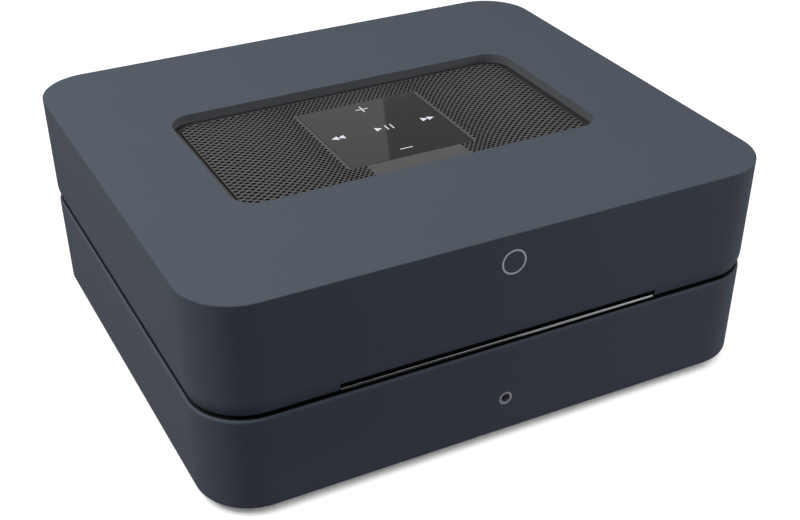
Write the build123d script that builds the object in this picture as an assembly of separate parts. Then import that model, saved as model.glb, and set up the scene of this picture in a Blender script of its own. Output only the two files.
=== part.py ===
from build123d import *
import os
from math import cos, radians, sin, sqrt

# A network music streamer with a disc slot: a two-part casing with a dark seam, a grille and a touch
# panel in its top, and a disc drive, a hard disk, a power board and a main board inside.
# Millimetres. +Z is up, the front faces -Y, and the origin is on the floor below the casing's middle.

# Casing
case_width = 220.0
case_depth = 193.0
case_height = 81.0
corner_radius = 20.65
wall = 2.5
foot_height = 4.0
foot_radius = 9.0
foot_inset_x = 32.0
foot_inset_y = 32.5
lower_height = 37.3
seam_gap = 1.4
lower_rim_fillet = 1.2
bottom_fillet = 1.2
top_fillet = 0.4
edge_curve_drop = 2.36
edge_curve_angle = 27.0
edge_curve_radius = 10.9
overrun = 1.0
skin_gap = 0.1
running_gap = 0.05

# Heights above the floor
case_bottom = foot_height
case_top = case_bottom + case_height
lower_top = case_bottom + lower_height
upper_bottom = lower_top + seam_gap
floor_top = case_bottom + wall
roof_bottom = case_top - wall
front_y = -case_depth / 2
back_y = case_depth / 2
front_inner_y = front_y + wall
back_inner_y = back_y - wall
inner_width = case_width - 2 * wall
inner_depth = case_depth - 2 * wall
inner_radius = corner_radius - wall
foot_spread_x = case_width / 2 - foot_inset_x
foot_spread_y = case_depth / 2 - foot_inset_y

# Dark ring behind the seam, on a ledge of the lower shell
ring_thickness = 1.6
ledge_height = 30.0
ring_rise = 5.3
ring_inset = wall + skin_gap
ledge_inset = wall + skin_gap + ring_thickness
ledge_z = case_bottom + ledge_height
ring_top = upper_bottom + ring_rise

# Case screws and their bosses
boss_inset_x = 16.0
boss_inset_y = 14.5
boss_radius = 4.5
boss_meet_height = 36.5
screw_radius = 1.5
screw_length = 25.0
screw_head_radius = 2.8
screw_head_height = 1.8
screw_clearance = 0.3
counterbore_height = 18.0
pilot_radius = 1.3
boss_x = case_width / 2 - boss_inset_x
boss_y = case_depth / 2 - boss_inset_y
meet_z = case_bottom + boss_meet_height
screw_seat_z = case_bottom + counterbore_height

# Vents in the lower shell's floor
vent_length = 22.0
vent_width = 2.5
vent_pitch = 7.0
vent_count = 9
vent_row_y = 34.0

# Disc slot
slot_width = 125.0
slot_centre_x = -1.5
slot_rise = 3.15
disc_rise = 3.2
disc_thickness = 1.2
trim_base_rise = 0.9
trim_height = 1.15
trim_setback = 0.9
trim_end_gap = 0.35
trim_round = 0.45
slot_left = slot_centre_x - slot_width / 2
slot_right = slot_centre_x + slot_width / 2
slot_top_z = upper_bottom + slot_rise
disc_plane_z = lower_top + disc_rise
trim_z = lower_top + trim_base_rise
trim_top = trim_z + trim_height
felt_thickness = 0.8
felt_gap = 0.5
felt_rise = 2.5

# Top recess, grille and touch panel
recess_width = 146.4
recess_depth = 78.0
recess_radius = 9.5
recess_drop = 3.1
collar_wall = 2.0
collar_drop = 8.5
grille_width = 140.6
grille_depth = 73.7
grille_radius = 7.0
grille_thickness = 1.0
grille_step = 0.4
ledge_reach = 2.5
frame_foot_thickness = 1.2
frame_foot_reach = 4.0
panel_side = 50.0
panel_gap = 0.2
panel_thickness = 1.6
panel_corner = 0.6
tray_side = 56.0
tray_ledge = 2.0
tray_depth = 2.8
touch_board_side = 45.6
touch_board_thickness = 1.2
hole_pitch_x = 5.2
hole_pitch_y = 4.5
hole_radius = 1.3
hole_margin = 2.6
land_width = 39.0
plate_top = case_top - recess_drop
plate_bottom = plate_top - grille_thickness
collar_bottom = case_top - collar_drop

# White marks printed on the panel
mark_reach = 19.0
mark_height = 0.05
mark_length = 5.2
mark_line = 0.5
mark_arrow_length = 2.7
mark_arrow_height = 3.1
mark_bar_gap = 1.3
mark_bar_step = 2.3
mark_bar_height = 3.8

# Light ring at the upper front
light_height = 70.3
light_radius = 4.75
light_line = 0.75
light_depth = 1.2
light_pin_radius = 0.35
light_pin_gap = 0.05
light_board_side = 14.0
light_board_thickness = 1.2
light_z = case_bottom + light_height

# Headphone socket
jack_x = -0.4
jack_height = 14.3
jack_ring_radius = 2.65
jack_bore_radius = 1.8
jack_body_width = 9.0
jack_body_depth = 13.0
jack_body_height = 8.0
jack_spring_width = 0.9
jack_spring_length = 8.0
jack_spring_thickness = 0.3
jack_z = case_bottom + jack_height

# Mid chassis plate
chassis_side_gap = 6.0
chassis_end_gap = 26.5
chassis_thickness = 1.2
chassis_height = 32.3
chassis_flange = 6.0
chassis_window_width = 22.0
chassis_window_depth = 44.0
chassis_window_inset = 20.0
chassis_window_y = 18.0
post_inset_x = 10.5
post_inset_y = 22.0
post_radius = 3.2
chassis_width = case_width - 2 * chassis_side_gap
chassis_depth = case_depth - 2 * chassis_end_gap
chassis_window_x = chassis_width / 2 - chassis_window_inset
post_x = case_width / 2 - post_inset_x
post_y = chassis_depth / 2 - post_inset_y
chassis_z = case_bottom + chassis_height
chassis_top = chassis_z + chassis_thickness

# Main board and its stand-offs
board_side_gap = 25.0
board_front_gap = 62.0
board_thickness = 1.6
board_back_gap = 8.5
board_height = 51.0
standoff_side = 5.0
standoff_front = 6.0
standoff_back = 22.0
standoff_radius = 2.5
small_screw_radius = 1.2
small_head_radius = 2.4
small_head_height = 1.6
small_screw_length = 5.0
board_z = case_bottom + board_height
board_top = board_z + board_thickness
board_back = back_inner_y - board_back_gap
board_front = front_y + board_front_gap
board_depth = board_back - board_front
board_width = case_width - 2 * board_side_gap
standoff_x = board_width / 2 - standoff_side

# Rear panel: a tub let into the upper shell's back wall
tub_side_gap = 26.0
tub_height = 21.0
tub_depth = 10.5
tub_wall = 1.5
tub_height_above_bottom = 59.5
tub_flange_thickness = 1.2
tub_flange_reach = 2.6
tub_corner = 2.5
tub_width = case_width - 2 * tub_side_gap
tub_z = case_bottom + tub_height_above_bottom
tub_plate_outer_y = back_y - tub_depth + tub_wall
tub_plate_inner_y = back_y - tub_depth
socket_gap = 0.15

# Rear sockets, as places along the width or from the tub's ends
ethernet_from_end = 22.0
usb_from_end = 42.0
button_x = 27.0
mini_jack_places = (14.0, 2.0, -10.0)
optical_x = -24.0
phono_from_end = 46.0
phono_step = 12.0
phono_count = 4
ethernet_x = tub_width / 2 - ethernet_from_end
usb_x = tub_width / 2 - usb_from_end
phono_places = tuple(phono_from_end - n * phono_step - tub_width / 2 for n in range(phono_count))
ethernet_width = 16.0
ethernet_height = 13.4
ethernet_length = 21.0
ethernet_port_width = 11.8
ethernet_port_height = 8.2
ethernet_port_depth = 14.0
ethernet_port_rise = 2.2
ethernet_stand_out = 0.6
usb_width = 13.2
usb_height = 5.8
usb_length = 14.0
usb_shell = 0.4
usb_stand_out = 0.8
usb_tongue_thickness = 1.9
usb_tongue_width = 11.1
usb_tongue_length = 9.0
usb_foot = 0.6
optical_width = 10.0
optical_height = 10.0
optical_length = 13.0
optical_mouth = 7.4
optical_mouth_depth = 9.0
optical_stand_out = 0.6
shutter_thickness = 0.9
shutter_gap = 0.25
shutter_pin_radius = 0.55
shutter_set_in = 1.4
phono_height = 6.6
phono_outer_radius = 4.15
phono_inner_radius = 3.5
phono_flange_radius = 4.8
phono_reach = 8.2
phono_body_width = 10.0
phono_body_depth = 9.0
phono_centre_radius = 2.9
phono_bore_radius = 1.65
phono_bore_depth = 7.0
mini_height = 3.6
mini_radius = 3.0
mini_bore_radius = 1.8
mini_body_width = 6.6
mini_body_depth = 12.0
mini_reach = 1.2
mini_bore_depth = 13.0
button_height = 4.0
button_radius = 2.0
button_gap = 0.15
button_reach = 1.6
button_travel = 0.8
button_collar_radius = 2.8
button_collar_length = 1.0
switch_side = 6.0
switch_depth = 6.0

# Main board parts
chip_width = 22.0
chip_height = 1.8
chip_x = -32.0
chip_from_back = 63.5
memory_width = 11.0
memory_depth = 13.0
memory_height = 1.1
memory_step = 16.0
converter_side = 9.0
converter_height = 1.2
converter_x = 30.0
can_radius = 3.2
can_height = 8.0
can_step = 9.0
can_count = 5
can_from_back = 27.5
sink_side = 46.0
sink_base = 3.0
sink_height = 16.0
sink_fin = 1.2
sink_fin_count = 10
connector_width = 16.0
connector_depth = 5.0
connector_height = 2.4
supply_from_side = 5.0
supply_lead_count = 4
supply_lead_step = 3.0
chip_y = board_back - chip_from_back
can_row_y = board_back - can_from_back
supply_x = board_width / 2 - supply_from_side
supply_y = chassis_window_y

# Power board, in the lower shell beside the hard disk
power_depth = 110.0
power_side_gap = 16.0
power_back_gap = 31.0
power_disk_gap = 9.2
power_post_height = 4.0
power_post_radius = 3.0
power_post_inset = 6.0
transformer_width = 26.0
transformer_depth = 30.0
transformer_height = 19.0
transformer_core_share = 0.6
bulk_can_radius = 8.0
bulk_can_height = 19.0
choke_radius = 7.5
choke_hole_radius = 3.5
choke_height = 8.0
terminal_width = 12.0
terminal_depth = 8.0
terminal_height = 9.0

# Mains inlet in the lower shell's back wall
inlet_from_side = 44.0
inlet_height = 19.0
inlet_width = 26.0
inlet_body_height = 15.0
inlet_body_depth = 20.0
inlet_mouth_width = 20.0
inlet_mouth_height = 10.4
inlet_mouth_depth = 13.0
inlet_pin_radius = 1.2
inlet_pin_spacing = 8.6
inlet_pin_length = 10.0
inlet_gap = 0.1
inlet_x = case_width / 2 - inlet_from_side
inlet_z = case_bottom + inlet_height

# Hard disk
disk_width = 101.6
disk_depth = 147.0
disk_height = 26.1
disk_side_gap = 15.2
disk_jack_gap = 5.8
disk_wall = 3.0
disk_cover_thickness = 2.0
disk_floor = 4.5
disk_board_thickness = 1.6
disk_board_inset = 4.0
grommet_radius = 6.0
grommet_height = 3.0
grommet_inset = 12.0
platter_radius = 47.4
platter_thickness = 1.27
platter_levels = (5.2, 11.2)
platter_back_gap = 0.5
hub_radius = 12.5
hub_height = 16.0
hub_base_gap = 0.5
spindle_pin_radius = 2.0
arm_pivot_x = 30.0
arm_pivot_y = 47.6
arm_length = 50.0
arm_thickness = 1.0
arm_root_width = 14.0
arm_tip_width = 4.0
arm_hub_radius = 8.0
arm_levels = (2.6, 8.2, 14.2)
arm_parked_angle = 176.7
arm_pin_radius = 2.5
coil_length = 14.5
coil_half_angle = 28.0
coil_thickness = 2.5
disk_x = disk_side_gap + disk_width / 2 - case_width / 2
disk_y = front_y + ledge_inset + jack_body_depth + disk_jack_gap + disk_depth / 2
power_width = case_width - disk_side_gap - disk_width - power_disk_gap - power_side_gap
power_x = case_width / 2 - power_side_gap - power_width / 2
power_y = back_inner_y - power_back_gap - power_depth / 2
vent_middle_x = disk_x
disk_bottom = floor_top + grommet_height
disk_floor_top = disk_bottom + disk_floor
disk_cover_z = disk_bottom + disk_height - disk_cover_thickness
platter_x = disk_x
platter_y = disk_y + disk_depth / 2 - disk_wall - platter_back_gap - platter_radius
arm_x = platter_x + arm_pivot_x
arm_y = platter_y - arm_pivot_y

# Disc drive
drive_width = 128.0
drive_depth = 128.5
drive_height = 12.7
drive_front_gap = 0.6
drive_sheet = 0.8
drive_front_lip = 2.2
drive_cover_lip = 2.6
drive_x = slot_centre_x
drive_front = front_y + ledge_inset + drive_front_gap
drive_back = drive_front + drive_depth
drive_y = drive_front + drive_depth / 2
drive_z = chassis_top
drive_floor = drive_z + drive_sheet
drive_cover_z = drive_z + drive_height - drive_sheet
drive_inner_x = drive_width / 2 - drive_sheet

# Loading roller, belt and motor
roller_set_back = 7.0
roller_end_radius = 1.95
roller_middle_radius = 1.6
roller_half_length = 50.0
roller_shaft_radius = 1.0
roller_shaft_half_length = 60.5
roller_disc_gap = 0.2
bearing_width = 3.0
bearing_depth = 5.0
bearing_x = 54.0
bearing_cap = 1.9
pulley_x = 58.6
pulley_width = 2.0
roller_pulley_radius = 1.45
motor_pulley_radius = 1.1
belt_thickness = 0.6
belt_span = 16.0
motor_radius = 2.6
motor_length = 16.0
motor_shaft_radius = 0.8
motor_z_rise = -0.8
motor_gap = 1.2
roller_y = drive_front + roller_set_back
roller_z = disc_plane_z - disc_thickness / 2 - roller_disc_gap - roller_end_radius
loading_motor_y = roller_y + belt_span
loading_motor_z = roller_z + motor_z_rise

# Traverse: the tilting frame that carries the turntable and the laser sled
traverse_width = 84.0
traverse_front_reach = 15.5
traverse_thickness = 1.2
traverse_rise = 2.0
traverse_back_gap = 1.0
window_half_width = 34.5
window_front_reach = 12.2
window_back_margin = 3.2
spindle_back_from_front = 62.6
traverse_pin_radius = 1.2
traverse_pin_length = 3.5
traverse_pin_margin = 4.0
ear_width = 3.0
ear_depth = 6.0
ear_gap = 0.5
ear_cap = 2.2
spindle_motor_radius = 9.0
spindle_motor_height = 1.4
spindle_shaft_radius = 1.0
spindle_hole_radius = 1.6
turntable_radius = 11.6
turntable_thickness = 0.8
turntable_lift = 0.5
turntable_hub_radius = 7.2
turntable_hub_height = 0.9
turntable_chamfer = 0.4
rod_radius = 1.0
rod_x = 29.0
rod_block_width = 5.0
rod_block_depth = 2.4
rod_block_height = 3.2
screw_x = 20.0
lead_screw_radius = 1.1
lead_screw_core = 0.8
lead_pitch = 3.0
sled_width = 66.0
sled_length = 12.0
sled_height = 3.6
sled_back_margin = 0.8
sled_travel = 35.0
sled_screw_hole = 1.45
lens_radius = 3.0
lens_rise = 0.3
lens_from_back = 4.4
sled_motor_radius = 2.2
sled_motor_length = 14.0
spindle_x = drive_x
spindle_y = drive_front + spindle_back_from_front
traverse_z = drive_floor + traverse_rise
traverse_mid_z = traverse_z + traverse_thickness / 2
traverse_front = spindle_y - traverse_front_reach
traverse_back = drive_back - drive_sheet - traverse_back_gap
window_front = spindle_y + window_front_reach
window_back = traverse_back - window_back_margin
traverse_pin_y = traverse_back - traverse_pin_margin

# Inner cables
ribbon_width = 14.0
ribbon_thickness = 0.5
ribbon_bend = 2.5
lead_radius = 0.9


def block(width, depth, height, x=0, y=0, z=0):
    # A box standing on z, centred on x and y.
    return Pos(x, y, z) * Box(width, depth, height, align=(Align.CENTER, Align.CENTER, Align.MIN))


def span(x0, x1, y0, y1, z0, z1):
    # A box between two corners.
    return Pos(x0, y0, z0) * Box(x1 - x0, y1 - y0, z1 - z0, align=(Align.MIN, Align.MIN, Align.MIN))


def slab(outline, height, z, x=0, y=0):
    return Pos(x, y, z) * extrude(outline, height)


def rounded_slab(width, depth, radius, height, z, x=0, y=0):
    return slab(RectangleRounded(width, depth, radius), height, z, x, y)


def post(radius, height, x, y, z):
    # An upright round post standing on z.
    return Pos(x, y, z) * Cylinder(radius, height, align=(Align.CENTER, Align.CENTER, Align.MIN))


def rod_x_way(radius, length, x, y, z):
    return Pos(x, y, z) * Rot(0, 90, 0) * Cylinder(radius, length)


def rod_y_way(radius, y0, y1, x, z):
    return Pos(x, (y0 + y1) / 2, z) * Rot(90, 0, 0) * Cylinder(radius, y1 - y0)


def four(x, y):
    return [(x, y), (-x, y), (-x, -y), (x, -y)]


def save(name, shape):
    solids = shape if isinstance(shape, list) else [shape]
    flat = [solid for item in solids for solid in item.solids()]
    export_step(Compound(flat) if len(flat) > 1 else flat[0], f"parts/{name}.step")


def level_edges(solid, z):
    # Edges that lie flat at height z.
    near = running_gap / 10
    return [e for e in solid.edges() if abs(e.center().Z - z) < near and e.bounding_box().size.Z < near]


def lower_shell():
    shell = rounded_slab(case_width, case_depth, corner_radius, lower_height, case_bottom)
    shell = fillet(level_edges(shell, lower_top), lower_rim_fillet)
    shell = fillet(level_edges(shell, case_bottom), bottom_fillet)
    ledge_width = case_width - 2 * ledge_inset
    ledge_depth = case_depth - 2 * ledge_inset
    shell -= rounded_slab(ledge_width, ledge_depth, corner_radius - ledge_inset, lower_height, floor_top)
    shell -= rounded_slab(inner_width, inner_depth, inner_radius, lower_height, ledge_z)
    for x, y in four(boss_x, boss_y):
        shell += post(boss_radius, meet_z - case_bottom, x, y, case_bottom)
        shell -= post(screw_radius + screw_clearance, meet_z, x, y, case_bottom)
        shell -= post(screw_head_radius + screw_clearance, counterbore_height, x, y, case_bottom)
    for x, y in four(post_x, post_y):
        shell += post(post_radius, chassis_z - floor_top, x, y, floor_top)
        shell -= post(small_screw_radius + running_gap, small_screw_length + overrun,
                      x, y, chassis_z - small_screw_length)
    for x, y in power_posts():
        shell += post(power_post_radius, power_post_height, x, y, floor_top)
        shell -= post(small_screw_radius + running_gap, power_post_height + wall / 2, x, y,
                      floor_top - wall / 2)
    for k in range(vent_count):
        x = vent_middle_x + (k - (vent_count - 1) / 2) * vent_pitch
        for y in (-vent_row_y, vent_row_y):
            slot = SlotOverall(vent_length, vent_width, rotation=90)
            shell -= slab(slot, wall + 2 * overrun, case_bottom - overrun, x, y)
    shell -= rod_y_way(jack_ring_radius, front_y - overrun, front_y + ledge_inset + overrun, jack_x, jack_z)
    mouth = block(inlet_mouth_width + 2 * inlet_gap + wall, ledge_inset + 2 * overrun,
                  inlet_mouth_height + 2 * inlet_gap + wall, inlet_x, back_y - ledge_inset / 2)
    shell -= Pos(0, 0, inlet_z - (inlet_mouth_height + wall) / 2 - inlet_gap) * mouth
    return shell


def power_posts():
    dx = power_width / 2 - power_post_inset
    dy = power_depth / 2 - power_post_inset
    return [(power_x + x, power_y + y) for x, y in four(dx, dy)]


def curved_foot_block():
    # The upper half's outside: upright sides that curve in along the lower edge.
    crease = upper_bottom + edge_curve_drop
    outline = RectangleRounded(case_width, case_depth, corner_radius)
    top = slab(outline, case_top - crease, crease)
    foot = Pos(0, 0, crease) * Rot(180, 0, 0) * extrude(outline, edge_curve_drop, taper=edge_curve_angle)
    body = top + foot
    return fillet(level_edges(body, crease), edge_curve_radius)


def upper_shell():
    shell = curved_foot_block()
    shell = fillet(level_edges(shell, case_top), top_fillet)
    shell -= rounded_slab(inner_width, inner_depth, inner_radius, roof_bottom - upper_bottom + overrun,
                          upper_bottom - overrun)
    shell += rounded_slab(recess_width + 2 * collar_wall, recess_depth + 2 * collar_wall,
                          recess_radius + collar_wall, roof_bottom - collar_bottom + wall / 2, collar_bottom)
    shell -= rounded_slab(recess_width, recess_depth, recess_radius, collar_drop + 2 * overrun,
                          collar_bottom - overrun)
    for x, y in four(boss_x, boss_y):
        shell += post(boss_radius, roof_bottom - meet_z + wall / 2, x, y, meet_z)
        shell -= post(pilot_radius, screw_length - counterbore_bite() + overrun, x, y, meet_z - overrun)
    shell -= span(slot_left, slot_right, front_y - overrun, front_inner_y + overrun,
                  upper_bottom - overrun, slot_top_z)
    shell -= light_ring_groove()
    gap = 2 * skin_gap
    shell -= tub_outline(tub_width + gap, tub_height + gap, back_inner_y - overrun, back_y + overrun)
    return shell


def counterbore_bite():
    # How much of a case screw lies in the lower boss.
    return boss_meet_height - counterbore_height


def ring_between(outer, inner, y0, y1, z):
    return rod_y_way(outer, y0, y1, 0, z) - rod_y_way(inner, y0 - overrun, y1 + overrun, 0, z)


def light_pin_places():
    middle = light_radius - light_line / 2
    return [(middle * cos(radians(a)), light_z + middle * sin(radians(a))) for a in (90, 210, 330)]


def light_ring_groove():
    groove = ring_between(light_radius, light_radius - light_line, front_y - overrun,
                          front_y + light_depth, light_z)
    for x, z in light_pin_places():
        groove += rod_y_way(light_pin_radius, front_y + light_depth / 2, front_inner_y + overrun, x, z)
    return groove


def light_ring():
    slim = skin_gap / 2
    ring = ring_between(light_radius - slim, light_radius - light_line + slim, front_y,
                        front_y + light_depth, light_z)
    for x, z in light_pin_places():
        ring += rod_y_way(light_pin_radius - light_pin_gap, front_y + light_depth / 2, front_inner_y, x, z)
    return ring


def seam_frame():
    width = case_width - 2 * ring_inset
    depth = case_depth - 2 * ring_inset
    radius = corner_radius - ring_inset
    ring = rounded_slab(width, depth, radius, ring_top - ledge_z, ledge_z)
    ring -= rounded_slab(width - 2 * ring_thickness, depth - 2 * ring_thickness, radius - ring_thickness,
                         ring_top - ledge_z + 2 * overrun, ledge_z - overrun)
    side = ring_thickness
    ring -= span(slot_left - side, slot_right + side, front_y, front_y + ledge_inset + overrun,
                 trim_z, ring_top + overrun)
    return ring


def case_screws():
    screws = []
    for x, y in four(boss_x, boss_y):
        head = post(screw_head_radius, screw_head_height, x, y, screw_seat_z - screw_head_height)
        shank = post(screw_radius, counterbore_bite(), x, y, screw_seat_z)
        tip = post(pilot_radius - running_gap, screw_length, x, y, screw_seat_z)
        drive = slab(RegularPolygon(screw_radius, 6), screw_head_height / 2,
                     screw_seat_z - screw_head_height, x, y)
        screws.append(head + shank + tip - drive)
    return screws


def rubber_feet():
    feet = []
    for x, y in four(foot_spread_x, foot_spread_y):
        foot = post(foot_radius, foot_height, x, y, 0)
        foot = fillet(level_edges(foot, 0), lower_rim_fillet)
        feet.append(foot)
    return feet


def slot_trim():
    left = slot_left + trim_end_gap
    right = slot_right - trim_end_gap
    front = front_y + trim_setback
    bar = span(left, right, front, front_y + ledge_inset, trim_z, trim_top)
    front_edges = [e for e in bar.edges() if abs(e.center().Y - front) < running_gap]
    long_edges = [e for e in front_edges if e.length > slot_width / 2]
    return fillet(long_edges, trim_round)


def slot_curtain():
    side = 2 * trim_end_gap
    front = front_inner_y
    upper = span(slot_left - side, slot_right + side, front, front + felt_thickness,
                 disc_plane_z + felt_gap / 2, slot_top_z + felt_rise)
    lower = span(slot_left + side, slot_right - side, front, front + felt_thickness,
                 trim_top, disc_plane_z - felt_gap / 2)
    return [upper, lower]


def grille_frame():
    width = recess_width - 2 * skin_gap
    depth = recess_depth - 2 * skin_gap
    radius = recess_radius - skin_gap
    top = plate_top - grille_step
    foot_bottom = collar_bottom - frame_foot_thickness
    frame = rounded_slab(width, depth, radius, top - foot_bottom, foot_bottom)
    frame += rounded_slab(width + 2 * frame_foot_reach, depth + 2 * frame_foot_reach,
                          radius + frame_foot_reach,
                          frame_foot_thickness, foot_bottom)
    gap = 2 * skin_gap
    frame -= rounded_slab(grille_width + gap, grille_depth + gap, grille_radius + skin_gap,
                          recess_drop, plate_bottom)
    frame -= rounded_slab(grille_width - 2 * ledge_reach, grille_depth - 2 * ledge_reach,
                          grille_radius - ledge_reach, collar_drop + 2 * overrun, foot_bottom - overrun)
    return frame


def inside_plate(x, y, margin):
    # Whether a hole's centre keeps its margin from the plate's rounded outline.
    corner_x = grille_width / 2 - grille_radius
    corner_y = grille_depth / 2 - grille_radius
    over_x = max(abs(x) - corner_x, 0)
    over_y = max(abs(y) - corner_y, 0)
    return sqrt(over_x ** 2 + over_y ** 2) <= grille_radius - margin


def open_for_hole(x, y):
    clear_side = panel_side / 2 + panel_gap + hole_margin
    beside_panel = max(abs(x), abs(y)) < clear_side
    on_land = y < 0 and abs(x) < land_width / 2 + hole_radius
    return inside_plate(x, y, hole_margin) and not beside_panel and not on_land


def top_grille():
    # The perforated plate, with a window for the touch panel and a bare land in front of it.
    plate = RectangleRounded(grille_width, grille_depth, grille_radius)
    window = panel_side + 2 * panel_gap
    columns = int(grille_width / hole_pitch_x)
    rows = int(grille_depth / hole_pitch_y)
    wires = [RectangleRounded(window, window, panel_corner).wire()]
    for column in range(-columns, columns + 1):
        shift = hole_pitch_y / 2 if column % 2 else 0
        for row in range(-rows, rows + 1):
            x = column * hole_pitch_x / 2
            y = row * hole_pitch_y + shift
            if open_for_hole(x, y):
                wires.append(Wire([Edge.make_circle(hole_radius, Plane((x, y, 0)))]))
    face = Face(plate.wire(), wires)
    return Pos(0, 0, plate_bottom) * extrude(face, grille_thickness)


def touch_panel():
    panel = rounded_slab(panel_side, panel_side, panel_corner, panel_thickness, plate_top - panel_thickness)
    return panel


def touch_tray():
    ledge_z_level = plate_top - panel_thickness
    bottom = plate_bottom - tray_depth
    tray = rounded_slab(tray_side, tray_side, panel_corner + tray_ledge, plate_bottom - bottom, bottom)
    window = panel_side + 2 * panel_gap
    tray -= rounded_slab(window, window, panel_corner, panel_thickness, ledge_z_level)
    inner = panel_side - 2 * tray_ledge
    tray -= block(inner, inner, tray_depth + 2 * overrun, 0, 0, bottom - overrun)
    return tray


def panel_boards():
    # The small boards behind the touch panel and behind the light ring.
    side = touch_board_side
    touch = block(side, side, touch_board_thickness, z=plate_top - panel_thickness - touch_board_thickness)
    light_y = front_inner_y + light_board_thickness / 2
    light = block(light_board_side, light_board_thickness, light_board_side, 0, light_y,
                  light_z - light_board_side / 2)
    return [touch, light]


def arrow(x, y, turn):
    # A triangle that points along +X, or along -X when turn is -1.
    length = mark_arrow_length * turn
    half = mark_arrow_height / 2
    shape = make_face(Polyline((x - length / 2, y - half), (x + length / 2, y), (x - length / 2, y + half),
                               close=True))
    return slab(shape, mark_height, plate_top)


def bar(x, y, width, depth):
    return block(width, depth, mark_height, x, y, plate_top)


def touch_icons():
    half = mark_arrow_length / 2
    marks = [bar(0, mark_reach, mark_length, mark_line) + bar(0, mark_reach, mark_line, mark_length)]
    marks.append(bar(0, -mark_reach, mark_length, mark_line))
    for turn in (1, -1):
        marks.append(arrow(turn * (mark_reach - half), 0, turn))
        marks.append(arrow(turn * (mark_reach + half), 0, turn))
    marks.append(arrow(-mark_bar_gap - half / 2, 0, 1))
    marks.append(bar(mark_bar_gap, 0, mark_line, mark_bar_height))
    marks.append(bar(mark_bar_gap + mark_bar_step, 0, mark_line, mark_bar_height))
    return marks


def headphone_ring():
    ring = rod_y_way(jack_ring_radius - skin_gap / 2, front_y, front_y + ledge_inset, jack_x, jack_z)
    return ring - rod_y_way(jack_bore_radius, front_y - overrun, front_y + ledge_inset + overrun, jack_x,
                            jack_z)


def headphone_jack():
    front = front_y + ledge_inset
    body = span(jack_x - jack_body_width / 2, jack_x + jack_body_width / 2, front, front + jack_body_depth,
                jack_z - jack_body_height / 2, jack_z + jack_body_height / 2)
    body -= rod_y_way(jack_bore_radius, front - overrun, front + jack_body_depth - overrun, jack_x, jack_z)
    for side in (1, -1):
        body -= jack_spring_slot(side)
    return body


def jack_spring_slot(side):
    # The pocket in the body for one contact spring, open to the bore.
    front = front_y + ledge_inset + overrun
    reach = jack_body_width / 2 - overrun
    return span(jack_x + min(0, side * reach), jack_x + max(0, side * reach), front,
                front + jack_spring_length,
                jack_z - jack_spring_width / 2 - skin_gap, jack_z + jack_spring_width / 2 + skin_gap)


def headphone_contacts():
    # Two leaf springs that lie in the body's pockets, beside the bore.
    springs = []
    front = front_y + ledge_inset + overrun
    outer = jack_body_width / 2 - overrun
    for side in (1, -1):
        near = side * (outer - jack_spring_thickness)
        far = side * outer
        springs.append(span(jack_x + min(near, far), jack_x + max(near, far), front,
                            front + jack_spring_length,
                            jack_z - jack_spring_width / 2, jack_z + jack_spring_width / 2))
    return springs


def chassis_plate():
    # The steel plate that carries the disc drive and the main board, with two upturned sides.
    plate = block(chassis_width, chassis_depth, chassis_thickness, z=chassis_z)
    for side in (1, -1):
        x = side * (chassis_width - chassis_thickness) / 2
        plate += block(chassis_thickness, chassis_depth, chassis_flange, x, 0, chassis_z)
        plate -= block(chassis_window_width, chassis_window_depth, chassis_thickness + 2 * overrun,
                       side * chassis_window_x, chassis_window_y, chassis_z - overrun)
    for x, y in four(post_x, post_y):
        plate -= post(small_screw_radius + screw_clearance, chassis_thickness + 2 * overrun, x, y,
                      chassis_z - overrun)
    return plate


def standoff_places():
    front = board_front + standoff_front
    back = board_back - standoff_back
    return [(side * standoff_x, y) for side in (1, -1) for y in (front, back)]


def board_standoffs():
    posts = []
    for x, y in standoff_places():
        standoff = post(standoff_radius, board_z - chassis_top, x, y, chassis_top)
        standoff -= post(small_screw_radius + running_gap, small_screw_length, x, y,
                         board_z - small_screw_length)
        posts.append(standoff)
    return posts


def small_screw(x, y, seat, grip):
    # A pan-head screw whose head rests on the seat.
    head = post(small_head_radius, small_head_height, x, y, seat)
    shank = post(small_screw_radius, grip, x, y, seat - grip)
    drive = slab(RegularPolygon(small_screw_radius, 6), small_head_height, seat + small_head_height / 2, x, y)
    return head + shank - drive


def board_screws():
    screws = [small_screw(x, y, board_top, small_screw_length) for x, y in standoff_places()]
    screws += [small_screw(x, y, chassis_top, small_screw_length) for x, y in four(post_x, post_y)]
    screws += [small_screw(x, y, power_board_top(), power_post_height) for x, y in power_posts()]
    return screws


def main_board():
    board = block(board_width, board_depth, board_thickness, 0, (board_front + board_back) / 2, board_z)
    for x, y in standoff_places():
        board -= post(small_screw_radius + screw_clearance, board_thickness + 2 * overrun, x, y,
                      board_z - overrun)
    return board


def main_chips():
    parts = [block(chip_width, chip_width, chip_height, chip_x, chip_y, board_top)]
    for k in (-1, 0, 1):
        parts.append(block(memory_width, memory_depth, memory_height, converter_x + k * memory_step,
                           chip_y, board_top))
        parts.append(block(converter_side, converter_side, converter_height,
                           converter_x + k * memory_step, chip_y - memory_step, board_top))
    for k in range(can_count):
        x = phono_places[-1] + k * can_step
        can = post(can_radius, can_height, x, can_row_y, board_top)
        parts.append(chamfer(level_edges(can, board_top + can_height), small_head_height / 4))
    parts.append(switch_body())
    z = board_z - connector_height
    for x, y in ribbon_sockets():
        parts.append(block(connector_width, connector_depth, connector_height, x, y, z))
    parts.append(block(connector_depth, connector_width, connector_height, supply_x, supply_y, z))
    return parts


def ribbon_sockets():
    # Where the two ribbons plug into the main board's underside.
    disk_socket_y = board_back - connector_depth
    drive_socket_y = drive_back + connector_depth + 2 * ribbon_bend
    return [(disk_x, disk_socket_y), (drive_x, drive_socket_y)]


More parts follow.
